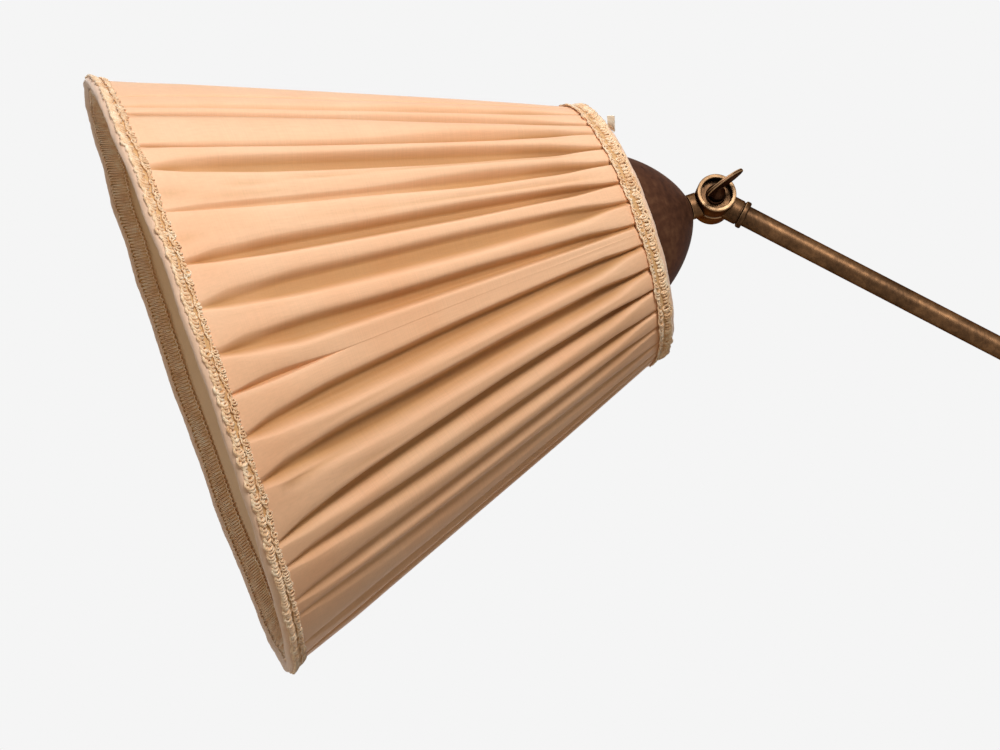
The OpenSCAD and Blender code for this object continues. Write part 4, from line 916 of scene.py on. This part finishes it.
with_modifier(swayed(closed(cover)), "SOLIDIFY", thickness=cloth_t, offset=-1)
satin = Finish("peach_satin", "shade_cloth", Roughness=0.5, Specular_IOR_Level=0.25, Sheen_Weight=0.06,
               Sheen_Roughness=0.4, Sheen_Tint=(1, 0.86, 0.72, 1))
uv = satin.node("TexCoord", None, None, "UV")
on_threads = [satin.node("Mapping", None, {"Vector": uv, "Scale": count})
              for count in ((2400, 46, 1), (40, 620, 1))]
warp, weft = (satin.node("TexNoise", None, {"Vector": place, "Scale": 1, "Detail": detail}, "Fac")
              for place, detail in zip(on_threads, (2, 3)))
# painted shade: the satin's own peach goes to darker golden browns the deeper a point lies in a fold
fold = satin.node("Attribute", {"attribute_name": "fold"}, None, "Fac")
tone_with_painted_shade = satin.ramp(fold * 0.6, (0.01, colour(251, 207, 168)), (0.42, colour(212, 164, 112)),
                  (0.8, colour(172, 126, 80)))
weave = warp * 0.5 + weft * 0.5
tone_with_painted_shade = satin.mix(satin.ramp(weave, (0.3, 0.88), (0.7, 1)), colour(0, 0, 0), tone_with_painted_shade)
satin.shade(Base_Color=satin.mix(satin.grain(40 * mm, 2) * 0.5, tone_with_painted_shade, colour(248, 202, 166), "MULTIPLY"),
            Roughness=weft * 0.14 + 0.42)
satin.bump(weave, 0.05 * mm, 0.5)
alone(cover)
bpy.ops.object.shade_smooth()
done(placed(cover, at_head), "head", satin, "shade_cover")

# ---- Lining ----
# A cone of thin cream cloth inside the ribs, cut as part of a ring. It is stretched between the two rings,
# where it is sewn into the bindings, and draws in a little between the ribs.
lining_line = [(55.14 * mm, cover_from), (58.17 * mm, 60 * mm), (127.22 * mm, 243 * mm),
               (134.19 * mm, cover_to)]
line = []
for (r0, at0), (r1, at1), count in zip(lining_line, lining_line[1:], (4, 24, 6)):
    line += [(r0 + (r1 - r0) * step / count, at0 + (at1 - at0) * step / count) for step in range(count)]
lining = turned("shade_lining_cloth", line + lining_line[-1:], 252, "open")
for vertex in lining.data.vertices:
    turn, t = math.atan2(vertex.co.y, vertex.co.x), (vertex.co.z - cover_from) / (cover_to - cover_from)
    ease = 4 * t * (1 - t)
    stretch = -1.1 * (0.5 - 0.5 * math.cos(6 * turn)) - 0.5
    stretch += 0.4 * noise.noise(Vector((turn * 5, t * 1.5, 2)))
    vertex.co.xy *= 1 + stretch * ease * mm / vertex.co.xy.length
with_modifier(swayed(lining), "SOLIDIFY", thickness=0.5 * mm, offset=-1)
cream = Finish("cream_lining", "lining_cloth", Roughness=0.75, Sheen_Weight=0.2)
threads = cream.grain(0.5 * mm, 3)
cream.shade(Base_Color=cream.mix(threads * 0.5 + cream.grain(30 * mm, 2) * 0.5,
                                 colour(234, 194, 150), colour(250, 220, 180)))
cream.bump(threads, 0.05 * mm)
alone(lining)
bpy.ops.object.shade_smooth()
done(placed(lining, at_head), "head", cream, "shade_lining")

# ---- Bindings ----
# Bias tape rolled over each ring's edge and sewn down by hand, so that no raw edge of the cloth shows. Its
# end stands loose behind the top ring, coloured paler than the rest of the tape as a painted highlight.
tape_cloth = Finish("binding_tape", "trim_tape", Roughness=0.6, Sheen_Weight=0.3, Specular_IOR_Level=0.3)
ribbing = tape_cloth.grain(0.45 * mm, 2, (1, 1, 3))
creasing = tape_cloth.grain(5 * mm, 3)
tape_cloth.shade(Base_Color=tape_cloth.mix(ribbing * 0.5 + creasing * 0.5, colour(224, 182, 150),
                                           colour(248, 214, 186)))
tape_cloth.bump(ribbing * 0.6 + creasing * 0.4, 0.12 * mm)


def binding(name, middle_r, middle_at, roll_r, turns, segments):
    """A roll of tape round a ring's edge. turns is the part of its section that shows."""
    section = []
    for step in range(17):
        turn = math.radians(turns[0] + (turns[1] - turns[0]) * step / 16)
        section.append((middle_r + roll_r * math.cos(turn), middle_at + roll_r * math.sin(turn)))
    roll = turned(name, section, segments)
    for vertex in roll.data.vertices:
        turn = math.atan2(vertex.co.y, vertex.co.x)
        out = Vector((vertex.co.xy.length - middle_r, vertex.co.z - middle_at))
        twist = noise.noise(Vector((middle_r * turn * 90, out.x * 500, out.y * 500)))
        swell = (0.24 * twist + 0.3 * noise.noise(Vector((turn * 7, middle_r * 40, 1)))
                 + 0.2 * noise.noise(Vector((middle_r * turn * 420, out.x * 900, out.y * 900)))) * mm
        out += out.normalized() * swell
        vertex.co.xy *= (middle_r + out.x) / vertex.co.xy.length
        vertex.co.z = middle_at + out.y
    return placed(smooth(swayed(roll), 70), at_head)


bottom_roll = binding("bottom_binding_roll", 138.2 * mm, 258.5 * mm, 2.6 * mm, (-30, 210), 720)
done(bottom_roll, "head", tape_cloth, "bottom_binding")
top_roll = binding("top_binding_roll", 58.2 * mm, 48.7 * mm, 2.6 * mm, (150, 390), 240)
done(top_roll, "head", tape_cloth, "top_binding")

tape_turn, tape_w, tape_from, tape_len, tape_at = math.radians(56), 3.4 * mm, 57.8 * mm, 7.6 * mm, 45.5 * mm
tape = cloth_grid("binding_tape_end", 24, 6)
for vertex in tape.data.vertices:
    x, y = vertex.co.x + 0.5, vertex.co.y * tape_w
    curl = 0.4 * mm * math.sin(4.5 * x) * (0.5 + x) - 0.25 * mm * math.cos(y / tape_w * math.pi)
    lift = curl + 0.15 * mm * noise.noise(Vector((x * 5, y * 900, 4)))
    y, lift = Matrix.Rotation(1.05 * x ** 0.35, 2) @ Vector((y, lift))
    vertex.co = Vector((tape_from + tape_len * x, y, lift))
    vertex.co.z += tape_at
with_modifier(tape, "SOLIDIFY", thickness=0.5 * mm, offset=0)
placed(tape, Matrix.Rotation(-tape_turn, 4, "Z"))
# painted highlight: the loose end is a paler copy of the binding tape, where it catches the light
tape_end_painted_light = grained("binding_tape_end", "trim_tape", 0.8 * mm, 3, (246, 230, 206), (255, 246, 230),
                   Roughness=0.7, Sheen_Weight=0.3)
done(placed(smooth(tape, 60), at_head), "head", tape_end_painted_light, "tape_end")

# ---- Braids ----
# Scroll braid of gold-cream rayon: two rows of looped cord with a sunk middle line, on a narrow woven
# ground, and small loops along its edge. The braid inside the mouth is a plainer one with cross threads.
gimp = Finish("scroll_braid", "trim_braid", Roughness=0.5, Sheen_Weight=0.4, Specular_IOR_Level=0.35)
plies = gimp.grain(0.35 * mm, 2)
# The ramp is partly the rayon's own uneven colour and partly painted light: its brightest stop stands for
# glints on the cords and its darkest for shade between the loops, strewn at random.
gimp.shade(Base_Color=gimp.ramp(plies * 0.5 + gimp.grain(5 * mm, 2) * 0.5, (0.34, colour(216, 164, 112)),
                                (0.5, colour(246, 206, 162)), (0.64, colour(255, 236, 206))))
gimp.bump(plies, 0.1 * mm)
# painted shade: the ground's gold is partly the thread's own colour and partly kept darker as shade in the
# braid's sunk middle line
ground = grained("braid_ground", "trim_braid", 0.4 * mm, 2, (196, 148, 92), (226, 182, 126), 0.1 * mm,
                 Roughness=0.7, Sheen_Weight=0.3)


def cord(name, paths, radius, sides=1):
    """Cords of one thickness, each along its own closed path round the shade, made into one piece."""
    curve = bpy.data.curves.new(name, "CURVE")
    curve.dimensions, curve.bevel_depth, curve.bevel_resolution = "3D", radius, sides
    for path in paths:
        spline = curve.splines.new("POLY")
        spline.points.add(len(path) - 1)
        spline.points.foreach_set("co", [number for point in path for number in (*point, 1)])
        spline.use_cyclic_u = True
    piece = bpy.data.objects.new(name, curve)
    bpy.context.collection.objects.link(piece)
    alone(piece)
    bpy.ops.object.convert(target="MESH")
    bpy.ops.object.shade_smooth()
    return bpy.context.object


def scrolls(count, middle, reach, sweep, height, points=8, place=on_cone, phase=0.0, uneven=0.3, lift=0.3,
            tilt=0.0):
    """A closed path of count loops round the shade, which go reach to each side of middle. A loop leans along
    the braid by sweep, stands at height, and rises and falls by lift and tilt."""
    path = []
    for step in range(count * points):
        turn = 2 * math.pi * (step % points) / points + phase
        wild = 1 + uneven * noise.noise(Vector((step / points * 0.7, middle * 3000, phase)))
        drift = 0.35 * mm * noise.noise(Vector((step / points * 0.11, middle * 1000, 5)))
        base = 2 * math.pi * (step / points + sweep * wild * math.sin(turn)) / count
        path.append(place(base, middle + drift + reach * wild * math.cos(turn),
                          height + tilt * math.cos(turn) + lift * wild * mm * math.sin(turn + 1)))
    return path


def trim(piece, finish, *nodes):
    """Puts a braid's cords on the head, where they wander along with the mouth."""
    return done(placed(swayed(piece), at_head), "head", finish, *nodes)


def woven(name, place, low, high, under, over):
    """The flat woven ground of a braid between two edges, from its underside to its upper side."""
    corners = [place(0, *corner) for corner in ((low, under), (high, under), (high, over), (low, over))]
    strip = turned(name, [(corner.x, corner.z) for corner in corners], 252)
    return done(placed(smooth(swayed(strip), 40), at_head), "head", ground)


# each braid's name, its edge by the roll and its edge on the cloth, how many loops go round it, and how
# uneven and how thick they are
for name, edge, far, count, wild, strand_r in (("bottom_braid", 258.9 * mm, 252.6 * mm, 256, 1.35, 0.64 * mm),
                                               ("top_braid", 48.9 * mm, 55.4 * mm, 108, 0.95, 0.58 * mm)):
    side = 1 if far > edge else -1
    thick, thin = edge + side * 1.6 * mm, far - side * 1.0 * mm
    strands = [scrolls(count, thick, -side * 1.4 * mm, sweep, 1.1 * mm, points=10, phase=phase, uneven=wild,
                       lift=0.35 * wild, tilt=0.2 * mm)
               for phase, sweep in ((0, 0.36), (math.pi * 0.95, 0.3))]
    trim(cord(name + "_scrolls", strands, strand_r), gimp, name)
    strands = [scrolls(count, thin, 1.05 * mm, sweep, 0.75 * mm, phase=phase, uneven=1.4)
               for phase, sweep in ((0, 0.36), (math.pi * 1.1, 0.26))]
    trim(cord(name + "_edging", strands, 0.42 * mm, 0), gimp)
    low, high = sorted((edge + side * 0.6 * mm, far - side * 0.5 * mm))
    woven(name + "_ground", on_cone, low, high, 0.15 * mm, 0.5 * mm)


def inside(turn, along, inward):
    """A point on the lining near the mouth, or inward from it."""
    radius = 129.9 * mm + (along - 250 * mm) * 0.56 - inward
    return Vector((radius * math.cos(turn), -radius * math.sin(turn), along))


threads = [scrolls(300, middle, 0.5 * mm, 0.12, 0.8 * mm, place=inside, phase=phase, uneven=0.9)
           for middle, phase in ((252 * mm, 0), (259.2 * mm, 2))]
threads.append(scrolls(460, 255.6 * mm, 3.4 * mm, 0.03, 0.8 * mm, place=inside))
trim(cord("inner_braid_threads", threads, 0.38 * mm, 0), gimp, "inner_braid")
woven("inner_braid_ground", inside, 251.6 * mm, 259.6 * mm, 0, 0.55 * mm)

# ---- Studio ----
# A pale floor, a pale surround that shows in the gloss but lights little, a soft key lamp above and in
# front, a larger one overhead, and a weak one to the left that lights the mouth.
pale, ambient = colour(245, 245, 245), 0.1
backdrop = Finish("pale_floor", "felt", Roughness=0.9, Base_Color=colour(184, 170, 148),
                  Emission_Strength=0.66)
camera_ray = backdrop.node("LightPath", None, None, "Is Camera Ray")
glossy_ray = backdrop.node("LightPath", None, None, "Is Glossy Ray")
backdrop.shade(Emission_Color=backdrop.mix(camera_ray + glossy_ray, colour(0, 0, 0), pale))
alone()
bpy.ops.mesh.primitive_circle_add(vertices=96, radius=6, fill_type="NGON")
floor = named("studio_floor")
floor.data.materials.append(backdrop.material)

world = bpy.data.worlds.new("pale_surround")
bpy.context.scene.world = world
surround = Tree(world)
background = surround.nodes["Background"]
camera_ray, glossy_ray, passing_ray = (surround.node("LightPath", None, None, ray) for ray in (
    "Is Camera Ray", "Is Glossy Ray", "Is Transmission Ray"))
seen = surround.maths("MAXIMUM", surround.maths("MAXIMUM", camera_ray, glossy_ray), passing_ray)
surround.feed(background.inputs["Color"], pale)
surround.feed(background.inputs["Strength"], seen * (1 - ambient) + ambient)


def lamp(name, place, aim, size, power):
    """A round soft lamp at a place, turned towards its aim. Its size is in metres and its power in watts."""
    bpy.ops.object.light_add(type="AREA", location=place)
    light = bpy.context.object
    light.name = name
    light.rotation_euler = (Vector(aim) - Vector(place)).to_track_quat("-Z", "Y").to_euler()
    light.data.shape, light.data.size, light.data.energy = "DISK", size, power


shade_middle = at_head @ Vector((0, 0, 150 * mm))
lamp("key_lamp", shade_middle + Vector((0.35, -2.3, 0.95)), shade_middle, 0.8, 52)
lamp("top_lamp", shade_middle + Vector((0.2, -0.5, 2.3)), shade_middle, 1.4, 18)
lamp("mouth_lamp", shade_middle + Vector((-2.2, -0.5, -0.1)), shade_middle, 1, 9)
bpy.context.scene.view_settings.view_transform = "Standard"
